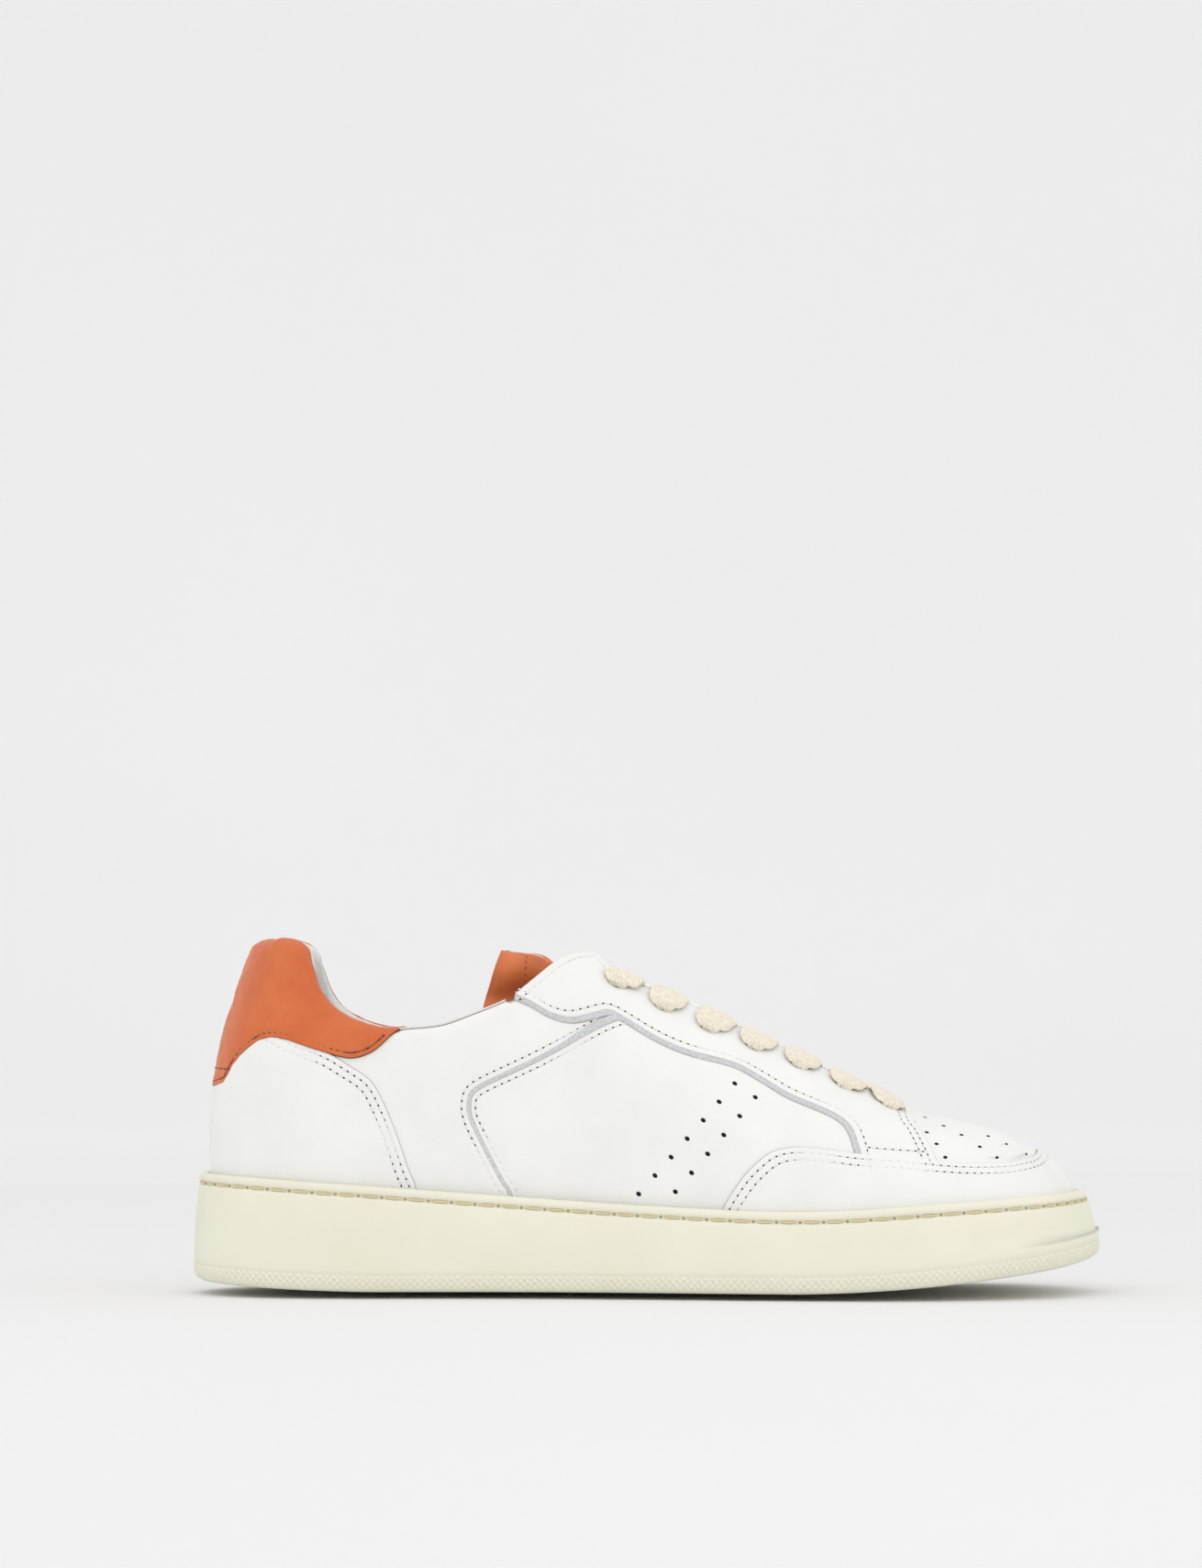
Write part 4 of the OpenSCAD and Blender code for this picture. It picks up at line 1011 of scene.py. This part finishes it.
def quarter(side, outer_row):
    label = SIDE_NAME[side]
    back = smooth_run(laid(rows(foot_at(-50), from_side((-55, 38), (-62, 50), (-65, 60), (-61, 69), (-50, 74),
                                                        (-36, 81), (-22, 88), (-9, 93.5))), side), 1.5)
    top = smooth_run(laid(from_side((-9, 93.5), (4, 87), (16, 81.5), (30, 76.5), (44, 70), (58, 63), (69, 56),
                                    (72, 48), (72, 38)), side), 1.5)
    low = smooth_run(laid(rows(from_side((72, 38), (56, 39), (45, 39.2), (38, 36), (33, 30)), foot_at(29)), side),
                     1.5)
    outline = closed(back, top, low, foot_line(29, -50, side)[1:])
    holes = [(q, QUARTER_HOLE) for q in laid(from_side(*QUARTER_HOLES), side)]
    obj = panel("quarter_leather_" + label, PATTERN, outline, quarter_depth, LEATHER, PANEL, grooves=[outer_row],
                holes=holes, relief=swell)
    belongs(obj, "leather_white", "quarter_" + label)
    return [(PATTERN, outer_row, quarter_depth)]


# two slanting rows of punched holes, (x, z) seen from the side
QUARTER_HOLES = [(27.4 - 5.1 * i, 66.1 - 5.87 * i) for i in range(7)]
QUARTER_HOLES += [(33.8 - 5.1 * i, 61.8 - 6.02 * i) for i in range(6)]
TOE_HOLES = [(84.6, 54.2), (88.4, 51), (91.4, 47.2), (93.7, 43.2), (89.1, 55.4), (94.4, 52.9), (100, 50),
             (105.4, 46.3), (110.7, 42.8), (108.7, 49.6), (114.8, 46.9), (121.3, 43.6)]
QUARTER_HOLE, TOE_HOLE = 0.78, 0.72  # the holes' radii


def eyestay(side):
    label = SIDE_NAME[side]
    low, back = line(STAY_LOW, side), line(STAY_BACK, side)
    throat, end, front = line(THROAT, side), line(THROAT_END, side), line(STAY_FRONT, side)
    base = smooth_run(laid(from_side((91.6, 38), (80, 36.5), (67.5, 38)), side), 1.5)
    seam = straight(end[-1], front[0])
    outline = closed(back, throat[1:], end[1:], seam[1:], front[1:], base[1:], low[::-1][1:])
    all_rows = [clean_offset(np.concatenate([back, throat[1:]]), 2.3 * side), clean_offset(low, -2.1 * side),
                clean_offset(front[4:], 2.2 * side), clean_offset(front[4:], 4.4 * side),
                line(from_side((69.4, 45.8), (76, 45.2), (82, 44.8), (86.5, 44.5)), side)]
    centres = laid(np.concatenate([eyelet_uv(k) for k in range(EYELETS)]), side)
    holes = [(c, EYELET_RADIUS) for c in centres]
    obj = panel("eyestay_leather_" + label, PATTERN, outline, DEPTH_STAY, LEATHER, PANEL, grooves=all_rows,
                holes=holes, relief=swell, spacing=2.0)
    belongs(obj, "leather_white", "eyestay_" + label)
    suede_strip("eyestay_suede_" + label, "eyestay_edging_" + label, offset(low, -1.2 * side),
                offset(low, 1.75 * side), 0.45, 0.14, 1.1)
    return [(PATTERN, r, DEPTH_STAY) for r in all_rows]


def mudguard():
    top = smooth_run(np.concatenate([laid(GUARD_TOP), laid(GUARD_TOP, 1)[::-1][1:]]), 1.0)
    foot = np.concatenate([foot_line(20, 136), foot_line(20, 136, 1)[::-1]])
    outline = closed(top, foot[::-1][1:])
    rows_in = double_row(top)
    obj = panel("mudguard_leather", PATTERN, outline, DEPTH_GUARD, LEATHER, PANEL, grooves=rows_in, relief=swell)
    belongs(obj, "leather_white", "mudguard")
    return [(PATTERN, r, DEPTH_GUARD) for r in rows_in]


def toe_box():
    chart = Hood([[from_side((78, 40))[0], [from_above((77, -0.3))[0, 0], 1]],
                  [from_side((84, 37.5))[0], [9.45, 1]], [from_side((98, 36.3))[0], [10.1, 1]],
                  [from_side((110, 36))[0], [10.75, 1]], [[11.3, 0.5], [11.35, 1]], [[12, 0.52], [12, 1]]])
    t = np.linspace(-1, 1, 90)
    s = np.linspace(0, 1, 56)
    outline = np.concatenate([np.stack([0 * t, t * chart.half], 1)[::-1],
                              np.stack([s * chart.length, 0 * s - chart.half], 1)[1:],
                              np.stack([0 * t + chart.length, t * chart.half], 1)[1:],
                              np.stack([s * chart.length, 0 * s + chart.half], 1)[::-1][1:-1]])
    spots = skin_point(*from_side(*TOE_HOLES).T)
    spots = np.concatenate([spots, spots * [1, -1, 1]])
    holes = [(q, TOE_HOLE) for q in chart.flat_of(spots)]
    obj = panel("toe_box_leather", chart, closed(outline), DEPTH_TOE, LEATHER, PANEL, holes=holes)
    return belongs(obj, "leather_white", "toe_box")


# ---- eyelets and lace ----
EYELETS, FIRST_EYELET, EYELET_PITCH, EYELET_INSET, EYELET_RADIUS = 7, -10.5, 14.45, 6.9, 2.1
OVER_DEPTH, UNDER_DEPTH = 4.4, 6.2  # of the two strands where they cross on the ridge
# how strongly each turn of the lace is shifted to the toe
LACE_SKEW = [1.2, 1.15, 1.6, 1.2, 1.0, 1.0, 0]
EYELET_LOWER = [0, 3.0, 4.6, 4.8, 4.8, 4.8, 5.8]  # how much further than that each hole lies from the throat
THROAT_HALF = [[-24, 18.5], [-17, 17.5], [5, 15.5], [36, 14], [66, 12], [76, 9.5]]


def throat_uv(k):
    x = FIRST_EYELET + EYELET_PITCH * k
    t = np.array(THROAT_HALF)
    return from_above((x, -np.interp(x, t[:, 0], t[:, 1])))


def below(q, by):
    here, under = skin_point(q[:, 0], q[:, 1]), skin_point(q[:, 0], q[:, 1] - 0.04)
    return np.stack([q[:, 0], q[:, 1] - by * 0.04 / np.linalg.norm(here - under, axis=1)], 1)


def inset_at(k):
    return EYELET_INSET + np.interp(k, np.arange(EYELETS), EYELET_LOWER)


def eyelet_uv(k):
    return below(throat_uv(k), inset_at(k))


def near(k, side, by, depth):
    q = on_side(below(throat_uv(k), by), side)
    return skin(q[:, 0], q[:, 1], depth)[0]


def way(k):
    d = near(min(k + 1, EYELETS - 1), -1, 0, 0.0) - near(min(k, EYELETS - 2), -1, 0, 0.0)
    return unit(np.array([d[0], 0, d[2]]))


NARROW, OPEN, TAIL = np.array([3.4, 2.0]), np.array([12.4, 1.5]), np.array([5.6, 0.9])  # width and thickness
LACE_STEPS, LACE_AROUND = 6, 32  # rings from stop to stop, and points round each ring
# each stop of a strand over the throat's edge: distance below the edge, depth, spread and shift to the toe
DIVE = [(0.9, -0.9, 1.0, 3.3), (2.7, -1.5, 1.0, 2.4), (4.5, -1.8, 0.98, 1.4), (6.0, -1.7, 0.86, 0.6),
        (7.2, -1.3, 0.6, 0.1), (7.6, -0.3, 0.2, 0), (7.0, 1.0, 0, 0), (6.9, 2.4, 0, 0), (5.5, 4.1, 0, 0)]


def dive(k, side):
    """Over the throat's edge, down through the hole and back under the eyestay."""
    return [(near(k, side, by * inset_at(k) / EYELET_INSET, depth) + shift * LACE_SKEW[k] * way(k), way(k),
             NARROW + (OPEN - NARROW) * wide) for by, depth, wide, shift in DIVE]


def crossing(k, side):
    """Out from under one eyestay and over to the next hole up on the other side."""
    a, b = throat_uv(k)[0], throat_uv(k - 1)[0]
    w, size = way(k), NARROW + (OPEN - NARROW) * 0.75
    depth = OVER_DEPTH if side > 0 else UNDER_DEPTH
    middle = skin(np.array([0.55 * a[0] + 0.45 * b[0]]), np.array([1.0]), np.array([depth]))[0]
    arrival = near(k - 1, -side, -3.6, 2.2) + 5 * way(k - 1)
    return [(near(k, side, 1.9, 4.8), w, NARROW + (OPEN - NARROW) * 0.5), (near(k, side, -2.5, 4.9), w, size),
            (middle, w, size), (arrival, way(k - 1), OPEN)]


def chain(k, side):
    return dive(0, side) if k == 0 else dive(k, side) + crossing(k, side) + chain(k - 1, -side)


def tail(side):
    stops = [(near(0, side, inset_at(0) + 1, 4.9), way(0), NARROW)]
    for i, k in enumerate((0.3, 0.8, 2, 3, 4)):
        q = on_side(below(throat_uv(k), inset_at(k) + 1.6), side)
        across = skin_point(q[:, 0], q[:, 1] + 0.02) - skin_point(q[:, 0], q[:, 1] - 0.02)
        depth = 6.2 + 0.9 * min(i, 1)
        stops.append((skin(q[:, 0], q[:, 1], depth)[0], unit(across)[0], NARROW + (TAIL - NARROW) * min(i / 2, 1)))
    return stops


def lace():
    last = EYELETS - 1
    a, b = near(last, -1, 0.9, -0.9), near(last, 1, 0.9, -0.9)
    bar = [((a + b) / 2 + np.array([0, 0, 0.9]), way(last), OPEN)]
    stops = tail(-1)[::-1] + chain(last, -1)[::-1] + bar + chain(last, 1) + tail(1)
    t = np.linspace(0, len(stops) - 1, LACE_STEPS * (len(stops) - 1) + 1)
    p, w, size = (along([s[i] for s in stops], t) for i in range(3))
    tangent = unit(np.gradient(p, axis=0))
    w = unit(w - (w * tangent).sum(1, keepdims=True) * tangent)
    h = np.cross(tangent, w)
    m = LACE_AROUND
    a = np.linspace(0, 2 * math.pi, m, endpoint=False)
    flat = np.sign(np.cos(a)) * np.abs(np.cos(a)) ** 0.7
    round_ = np.sign(np.sin(a)) * np.abs(np.sin(a)) ** 0.8
    outward = np.sign((h * (p * [0, 1, 1] - [0, 0, 45])).sum(1, keepdims=True))
    spread = np.clip((size[:, :1] - NARROW[0]) / (OPEN[0] - NARROW[0]), 0, 1)
    arch = -0.6 * outward * (np.cos(a) ** 2)[None, :] * ease(spread * 2 - 0.8)
    arch = arch + 0.3 * outward * np.cos(11 * flat)[None, :] * ease(4 * spread) * ease(3 * (1 - spread))
    rings = (p[:, None] + flat[None, :, None] * size[:, None, :1] / 2 * w[:, None]
             + (round_[None, :, None] * size[:, None, 1:] / 2 + arch[:, :, None]) * h[:, None])
    s = arc_lengths(p)
    index, walls = tube_faces(len(p), m)
    faces = walls[:, [0, 3, 2, 1]].tolist() + [index[0].tolist(), index[-1][::-1].tolist()]
    uv = np.stack([np.repeat(s, m), (flat[None] * size[:, :1] / 2).ravel()], 1)
    obj = make_object("lace_ribbon", rings.reshape(-1, 3), faces, [LACE], uvs=uv)
    belongs(obj, "lace_cotton", "lace")
    length = float(s[-1]) * MM
    return length


# ---- the sole ----
def ring(inset, height, lean=0.0, n=720):
    u = np.arange(n) * LOOP / n
    e = edge(u, inset + lean * lean_at(u))
    return np.concatenate([e, height(e[:, 0])[:, None]], 1)


def above_ground(h):
    return lambda x: ground_z(x) + h


def under_lip(h):
    return lambda x: lip_z(x) - h


BAND_HEIGHT = 5.6


def cupsole():
    """The rubber cup: its tread's rim, the wall, the stitch groove, the lip and the inside."""
    foot = [(5.4, 0.9), (1.4, 1.2), (0.75, 2.6), (0.4, 5.2), (0.0, 5.9), (-0.05, 7), (0.0, 9)]  # inset, height
    # inset, distance below the lip, and how far the ring leans in with the toe
    wall = [(0.35, 15, 0.1), (0.75, 10.5, 0.3), (1.3, 5.2, 0.55), (1.5, 4.35, 0.6), (1.75, 3.95, 0.65),
            (2.2, 3.7, 0.7), (2.3, 3.25, 0.75), (2.2, 2.8, 0.8), (1.75, 2.5, 0.8), (1.5, 2.1, 0.8), (1.45, 1.5, 0.9),
            (1.6, 0.9, 1), (1.95, 0.4, 1), (2.5, 0.08, 1), (3.3, 0.0, 1), (4.1, 0.15, 1), (4.5, 0.9, 1),
            (4.5, 5, 0.5), (4.6, BOARD_DEPTH, 0)]
    rings = [ring(i, above_ground(h)) for i, h in foot] + [ring(i, under_lip(h), lean) for i, h, lean in wall]
    rings.append(ring(4.8, above_ground(FLOOR)))
    obj = loft("cupsole_rubber", rings, [RUBBER])
    return belongs(obj, "rubber_cream", "cupsole")


def grip_band():
    """The band of small diamonds moulded round the foot of the wall."""
    around, rising, pitch = 2720, 13, 2.3
    u = np.arange(around) * LOOP / around
    lengths = arc_lengths(np.vstack([edge(u, 0.0), edge(u[:1], 0.0)]))
    turns = round(lengths[-1] / pitch)
    phase = lengths[:-1] / lengths[-1] * turns * 2 * math.pi
    rings = [ring(1.6, above_ground(BAND_HEIGHT), n=around)]
    for k in np.linspace(1, 0, rising):
        h = 0.7 + (BAND_HEIGHT - 0.9) * k
        lift = np.abs(np.cos(phase / 2 + math.pi * h / pitch)) * np.abs(np.cos(phase / 2 - math.pi * h / pitch))
        shape = 0.85 * (1 - k) ** 3 + 0.25
        e = edge(u, shape - 0.65 * lift * ease(4 * k + 0.3) * ease(6 * (1 - k) + 0.4))
        rings.append(np.concatenate([e, (ground_z(e[:, 0]) + h)[:, None]], 1))
    rings.append(ring(2.2, above_ground(0.15), n=around))
    rings.append(ring(5.4, above_ground(0.3), n=around))
    rings = rings[::-1]
    obj = loft("cupsole_grip_band", rings + [ring(5.4, above_ground(3.0), n=around), rings[0]], [RUBBER],
               caps=False)
    return belongs(obj, "rubber_cream")


def tread():
    """The underside: a herringbone of shallow ribs inside the rim."""
    u = np.arange(360) * LOOP / 360
    rim = edge(u, 5.2) * [1, -1]

    def ribs(q, p):
        fold = np.abs((q[:, 1] / 13) % 2 - 1) * 13
        wave = 0.5 + 0.5 * np.cos(2 * math.pi * (q[:, 0] + fold) / 6.5)
        flat = ease(distance(q, rim, True) / 3)
        return 0.9 * flat * (ease(wave * 1.6 - 0.3) - 1)

    obj = panel("outsole_tread", SoleFloor(), rim[::-1], 0.0, 3.0, [RUBBER] * 3, relief=ribs, spacing=1.5)
    return belongs(obj, "rubber_cream")


class Wall:
    """A chart of the sole's wall: millimetres round it, and height above the stitch groove's floor."""

    def __init__(self):
        self.u = np.linspace(0, LOOP, 2401)
        self.x = arc_lengths(edge(self.u, 2.0))

    def place(self, q, depth):
        u = np.interp(q[:, 0], self.x, self.u)
        e = edge(u, 2.2 + 0.75 * lean_at(u) + np.broadcast_to(np.asarray(depth, float), u.shape))
        return np.concatenate([e, (lip_z(e[:, 0]) - 3.25 + q[:, 1])[:, None]], 1)


def sole_stitching():
    chart = Wall()
    full = np.stack([np.linspace(0, chart.x[-1], 2000), np.zeros(2000)], 1)
    obj = stitching("sole_thread", [(chart, full, -GROOVE_DEPTH - 0.25)], [SOLE_THREAD, SOLE_HOLE], "thread_tan",
                    pitch=7.4, thread=0.34)
    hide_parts("sole_stitching")


# ---- linings, tongue and the pieces inside ----
LINING_DEPTH = 6.9  # of the lining's face below the collar, under the leather's


def lining_depth(v, top_v, r):
    """As deep as the roll is thick at the collar's top, then LINING_DEPTH."""
    w = ease(1 - (top_v - v) / 0.22)
    return LINING_DEPTH + (2 * r - LINING_DEPTH) * w


def collar_lining():
    """From the crown of the collar's roll down inside to the footbed, round the whole heel."""
    u = np.linspace(COLLAR_STOP - COLLAR_END, COLLAR_END - COLLAR_STOP, 150)
    r = roll_radius(u)
    top_v = PATTERN.find(over_collar(u, 0.0))[1]
    outer, inner = [], []
    for a in np.linspace(math.radians(94), math.pi, 9):
        q = over_collar(u, a)
        outer.append(PATTERN.place(q, 0.12))
        inner.append(PATTERN.place(q, 0.75))
    for f in np.linspace(0, 1, 28)[1:]:
        v = top_v + (0.05 - top_v) * f
        d = lining_depth(v, top_v, r)
        ripple = np.array([0.25 * noise.noise(Vector((a * 2.2, b * 14, 3))) for a, b in zip(u, v)])
        outer.append(skin(u, v, d + ripple * ease(f * 4)))
        inner.append(skin(u, v, d - 0.6))
    obj = sheet_grid("collar_lining", np.array(outer).transpose(1, 0, 2)[::-1],
                     np.array(inner).transpose(1, 0, 2)[::-1], [LINING])
    belongs(obj, "lining_fabric", "quarter_lining_lateral", "quarter_lining_medial")


def collar_foam():
    """The soft filling between the patch and the lining."""
    u = np.linspace(-4.6, 4.6, 90)
    top_v = PATTERN.find(over_collar(u, 0.0))[1]
    r = roll_radius(u)
    columns = []
    low_v = np.minimum(0.44, top_v - 0.03)
    for f in np.linspace(0, 1, 10):
        columns.append(skin(u, low_v + (top_v - low_v) * f, 2.2))
    for a in np.linspace(0, math.pi, 12)[1:]:
        q = over_collar(u, a)
        columns.append(PATTERN.place(q, np.full(len(u), 1.4) + 0.8 * math.cos(a / 2) ** 2))
    for f in np.linspace(1, 0, 10)[1:]:
        v = low_v + (top_v - low_v) * f
        columns.append(skin(u, v, np.maximum(lining_depth(v, top_v, r) - 1.2, 2.7)))
    rings = np.array(columns).transpose(1, 0, 2)
    obj = loft("collar_foam", list(rings), [FOAM])
    belongs(obj, "foam", "collar_padding")


def side_lining(side):
    """Under the eyestay and the quarter, from the collar to the forefoot."""
    label = SIDE_NAME[side]
    rim = smooth_run(np.array([(-47, 89), (-42, 91), (-37, 94.5), (-31, 99.5), (-25, 103.3), (-19, 104.3)]), 0.6)
    tops = np.concatenate([from_side(*rim)] + [below(throat_uv(k), 1.2) for k in np.linspace(-0.2, 6.0, 66)])
    u, top_v = tops.T
    outer, inner = [], []
    for f in np.linspace(0, 1, 24):
        v = top_v + (0.06 - top_v) * f
        d = 3.0 + 3.6 * ease(f * 2.2)
        uu = u if side < 0 else LOOP - u
        outer.append(skin(uu, v, d))
        inner.append(skin(uu, v, d - 0.45))
    outer, inner = np.array(outer).transpose(1, 0, 2), np.array(inner).transpose(1, 0, 2)
    if side > 0:
        outer, inner = outer[::-1], inner[::-1]
    obj = sheet_grid("side_lining_" + label, outer[::-1], inner[::-1], [LINING])
    belongs(obj, "lining_fabric")


TONGUE_ROWS = [  # the tongue's edge, and the station where it crosses the ridge
    [from_side((-43.6, 112.6))[0], 5.95], [from_side((-47.2, 102))[0], 6.1], [from_side((-50.6, 90.5))[0], 6.35],
    [from_side((-49, 81))[0], 6.7], [from_side((-36, 75))[0], 7.1], [from_side((-12, 71))[0], 7.6],
    [from_side((16, 66.5))[0], 8.05], [from_side((42, 58))[0], 8.5], [from_side((66, 51))[0], 8.95],
    [from_side((80, 47.5))[0], 9.35]]
TONGUE_DEPTH, TONGUE_HALF, TONGUE_SEAM = 12.5, 2.65, 0.83
TONGUE_FLARE = 1.2  # how much its free sides stand out above the collar


def v_at(u, z):
    low, high = np.full(u.shape, 0.3), np.ones(u.shape)
    for _ in range(16):
        middle = (low + high) / 2
        under = skin_point(u, middle)[..., 2] < z
        low, high = np.where(under, middle, low), np.where(under, high, middle)
    return (low + high) / 2


def tongue_at(s, f, depth):
    """Points of the tongue: s runs from its top to its foot and f across it from -1 to 1."""
    t = s * (len(TONGUE_ROWS) - 1)
    e = along(np.array([row[0] for row in TONGUE_ROWS]), t)
    ridge = along(np.array([row[1] for row in TONGUE_ROWS]), t)
    lift = np.sin(math.pi / 2 * (1 - np.abs(f)))
    z_edge, z_ridge = skin_point(e[..., 0], e[..., 1])[..., 2], skin_point(ridge, np.ones_like(ridge))[..., 2]
    u = e[..., 0] * (1 - lift) + ridge * lift
    v = np.where(lift > 0.9999, 1.0, v_at(u, z_edge * (1 - lift) + z_ridge * lift))
    p = skin(np.where(f > 0, LOOP - u, u), v, depth)
    flare = TONGUE_FLARE * ease((p[..., 2] - 92) / 14) * ease((-30 - p[..., 0]) / 16)
    return np.stack([p[..., 0], p[..., 1] * (1 + flare), p[..., 2]], -1)


def tongue_grid(depth_at, down=90, across=61):
    s, f = np.meshgrid(np.linspace(0, 1, down), np.linspace(-1, 1, across), indexing="ij")
    return tongue_at(s, f, depth_at(s, f))


class TongueFace:
    """A chart of the tongue's outer face, in millimetres down it and across it."""
    size = np.array([240.0, 45.0])

    def place(self, q, depth):
        s, f = q[:, 0] / self.size[0], q[:, 1] / self.size[1]
        return tongue_at(s, f, TONGUE_DEPTH - tongue_swell(s, f) + depth)


def tongue_swell(s, f):
    """Half the tongue's thickness: full in the middle, round at its sides and its top."""
    side = np.sqrt(np.clip(1 - np.abs(f) ** 7, 0, 1))
    top = np.sqrt(np.clip(1 - (1 - np.clip(s / 0.05, 0, 1)) ** 2, 0, 1))
    seam = 0.5 * np.exp(-((np.abs(f) - TONGUE_SEAM) / 0.02) ** 2)
    return np.maximum(TONGUE_HALF * side * top - seam * side * top, 0.0)


def tongue():
    def outer(s, f):
        crumple = 0.22 * np.sin(26 * s + 5 * f) * np.exp(-((np.abs(f) - 0.8) / 0.2) ** 2) * ease((s - 0.08) / 0.1)
        return TONGUE_DEPTH - tongue_swell(s, f) + crumple * (np.abs(f) < 0.99)

    def face(side, within, least):
        """A face that far within the tongue's outer (-1) or inner (1) surface."""
        return tongue_grid(lambda s, f: TONGUE_DEPTH + side * np.maximum(tongue_swell(s, f) - within, least))

    shell = sheet_grid("tongue_leather", tongue_grid(outer), face(-1, 0.8, -0.01), [TAN_TONGUE])
    back = sheet_grid("tongue_back_lining", face(1, 0.6, -0.01), face(1, 0.0, 0.0), [LINING])
    fill = sheet_grid("tongue_foam", face(-1, 0.9, 0.01), face(1, 0.7, 0.01), [FOAM])
    belongs(shell, "leather_tan", "tongue_outer", body="tongue")
    belongs(back, "lining_fabric", "tongue_lining", body="tongue")
    belongs(fill, "foam", "tongue_padding", body="tongue")
    seams = [(TongueFace(), np.array([[5, f], [120, f]]) * [1, TongueFace.size[1]], -0.1)
             for f in (-TONGUE_SEAM, TONGUE_SEAM)]
    rows_of_seam = stitching("tongue_stitching", seams, [BROWN_THREAD, BROWN_NEEDLE_HOLE_SHADE], "leather_tan", pitch=2.2)
    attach(rows_of_seam, "tongue")


CARRIED = {"midsole_filler": FOAM, "insole_board": BOARD, "footbed": FOOTBED, "toe_puff": BOARD,
           "vamp_lining": LINING, "heel_counter": BOARD, "eyelet_tape_lateral": LINING,
           "eyelet_tape_medial": LINING, "lace_tips": TIP}


def carried_over():
    for node, look in CARRIED.items():
        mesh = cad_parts[node].data
        mesh.materials.clear()
        mesh.materials.append(look)


# ---- studio ----
def studio():
    scene = bpy.context.scene
    world = bpy.data.worlds.new("studio_world")
    world.use_nodes = True
    back = world.node_tree.nodes["Background"]
    back.inputs["Color"].default_value = (1, 1, 1, 1)
    back.inputs["Strength"].default_value = 0.975
    scene.world = world
    scene.view_settings.view_transform = "Standard"

    profile = [(-2.4, 0.0), (0.5, 0.0), (0.9, 0.03), (1.2, 0.15), (1.4, 0.4), (1.5, 0.8), (1.52, 1.4), (1.52, 3.2)]
    y_z = smooth_run(np.array(profile) * 1000, 40)
    outer = np.array([[[x, y, z] for y, z in y_z] for x in (-4000, 4000)])
    inner = outer - [0, 0, 20]
    paper = Look("studio_paper", Roughness=0.9)
    paper.tint(paper.noise(1.5, Detail=2.0), linear(236, 236, 236), linear(239, 239, 239))
    sweep = sheet_grid("studio_sweep", outer, inner, [paper.material])

    def area(name, place, target, size, power):
        light = bpy.data.lights.new(name, "AREA")
        light.shape, light.size, light.size_y, light.energy = "RECTANGLE", size[0], size[1], power
        obj = bpy.data.objects.new(name, light)
        obj.location = place
        obj.rotation_euler = (Vector(target) - Vector(place)).to_track_quat("-Z", "Y").to_euler()
        scene.collection.objects.link(obj)

    area("key_light", (-0.5, -1.3, 1.7), (0, 0, 0.05), (1.8, 1.4), 4.2)
    area("top_light", (0.1, 0.1, 1.9), (0, 0, 0.05), (1.6, 1.6), 0.5)
    area("fill_light", (1.5, -0.9, 0.8), (0, 0, 0.05), (1.2, 1.2), 1.5)

    camera = bpy.data.cameras.new("camera")
    camera.sensor_fit, camera.sensor_height, camera.lens = "VERTICAL", 36, 106.3
    camera.clip_start, camera.clip_end = 0.05, 20
    obj = bpy.data.objects.new("camera", camera)
    obj.location = (-0.0149, -1.5, 0.085)
    obj.rotation_euler = (math.radians(90 + 2.944), 0, 0)
    scene.collection.objects.link(obj)
    scene.camera = obj


# ---- the whole shoe ----
studio()
lace()
cupsole()
grip_band()
tread()
sole_stitching()
heel_panel()
heel_collar_patch()
for side in (-1, 1):
    rear_rows, outer_row = rear_quarter(side)
    side_rows = rear_rows + quarter(side, outer_row) + eyestay(side)
    stitching("upper_stitching_" + SIDE_NAME[side], side_rows, [WHITE_THREAD, NEEDLE_HOLE_SHADE], "leather_white")
stitching("mudguard_stitching", mudguard(), [WHITE_THREAD, NEEDLE_HOLE_SHADE], "leather_white")
toe_box()
collar_lining()
collar_foam()
for side in (-1, 1):
    side_lining(side)
tongue()
carried_over()
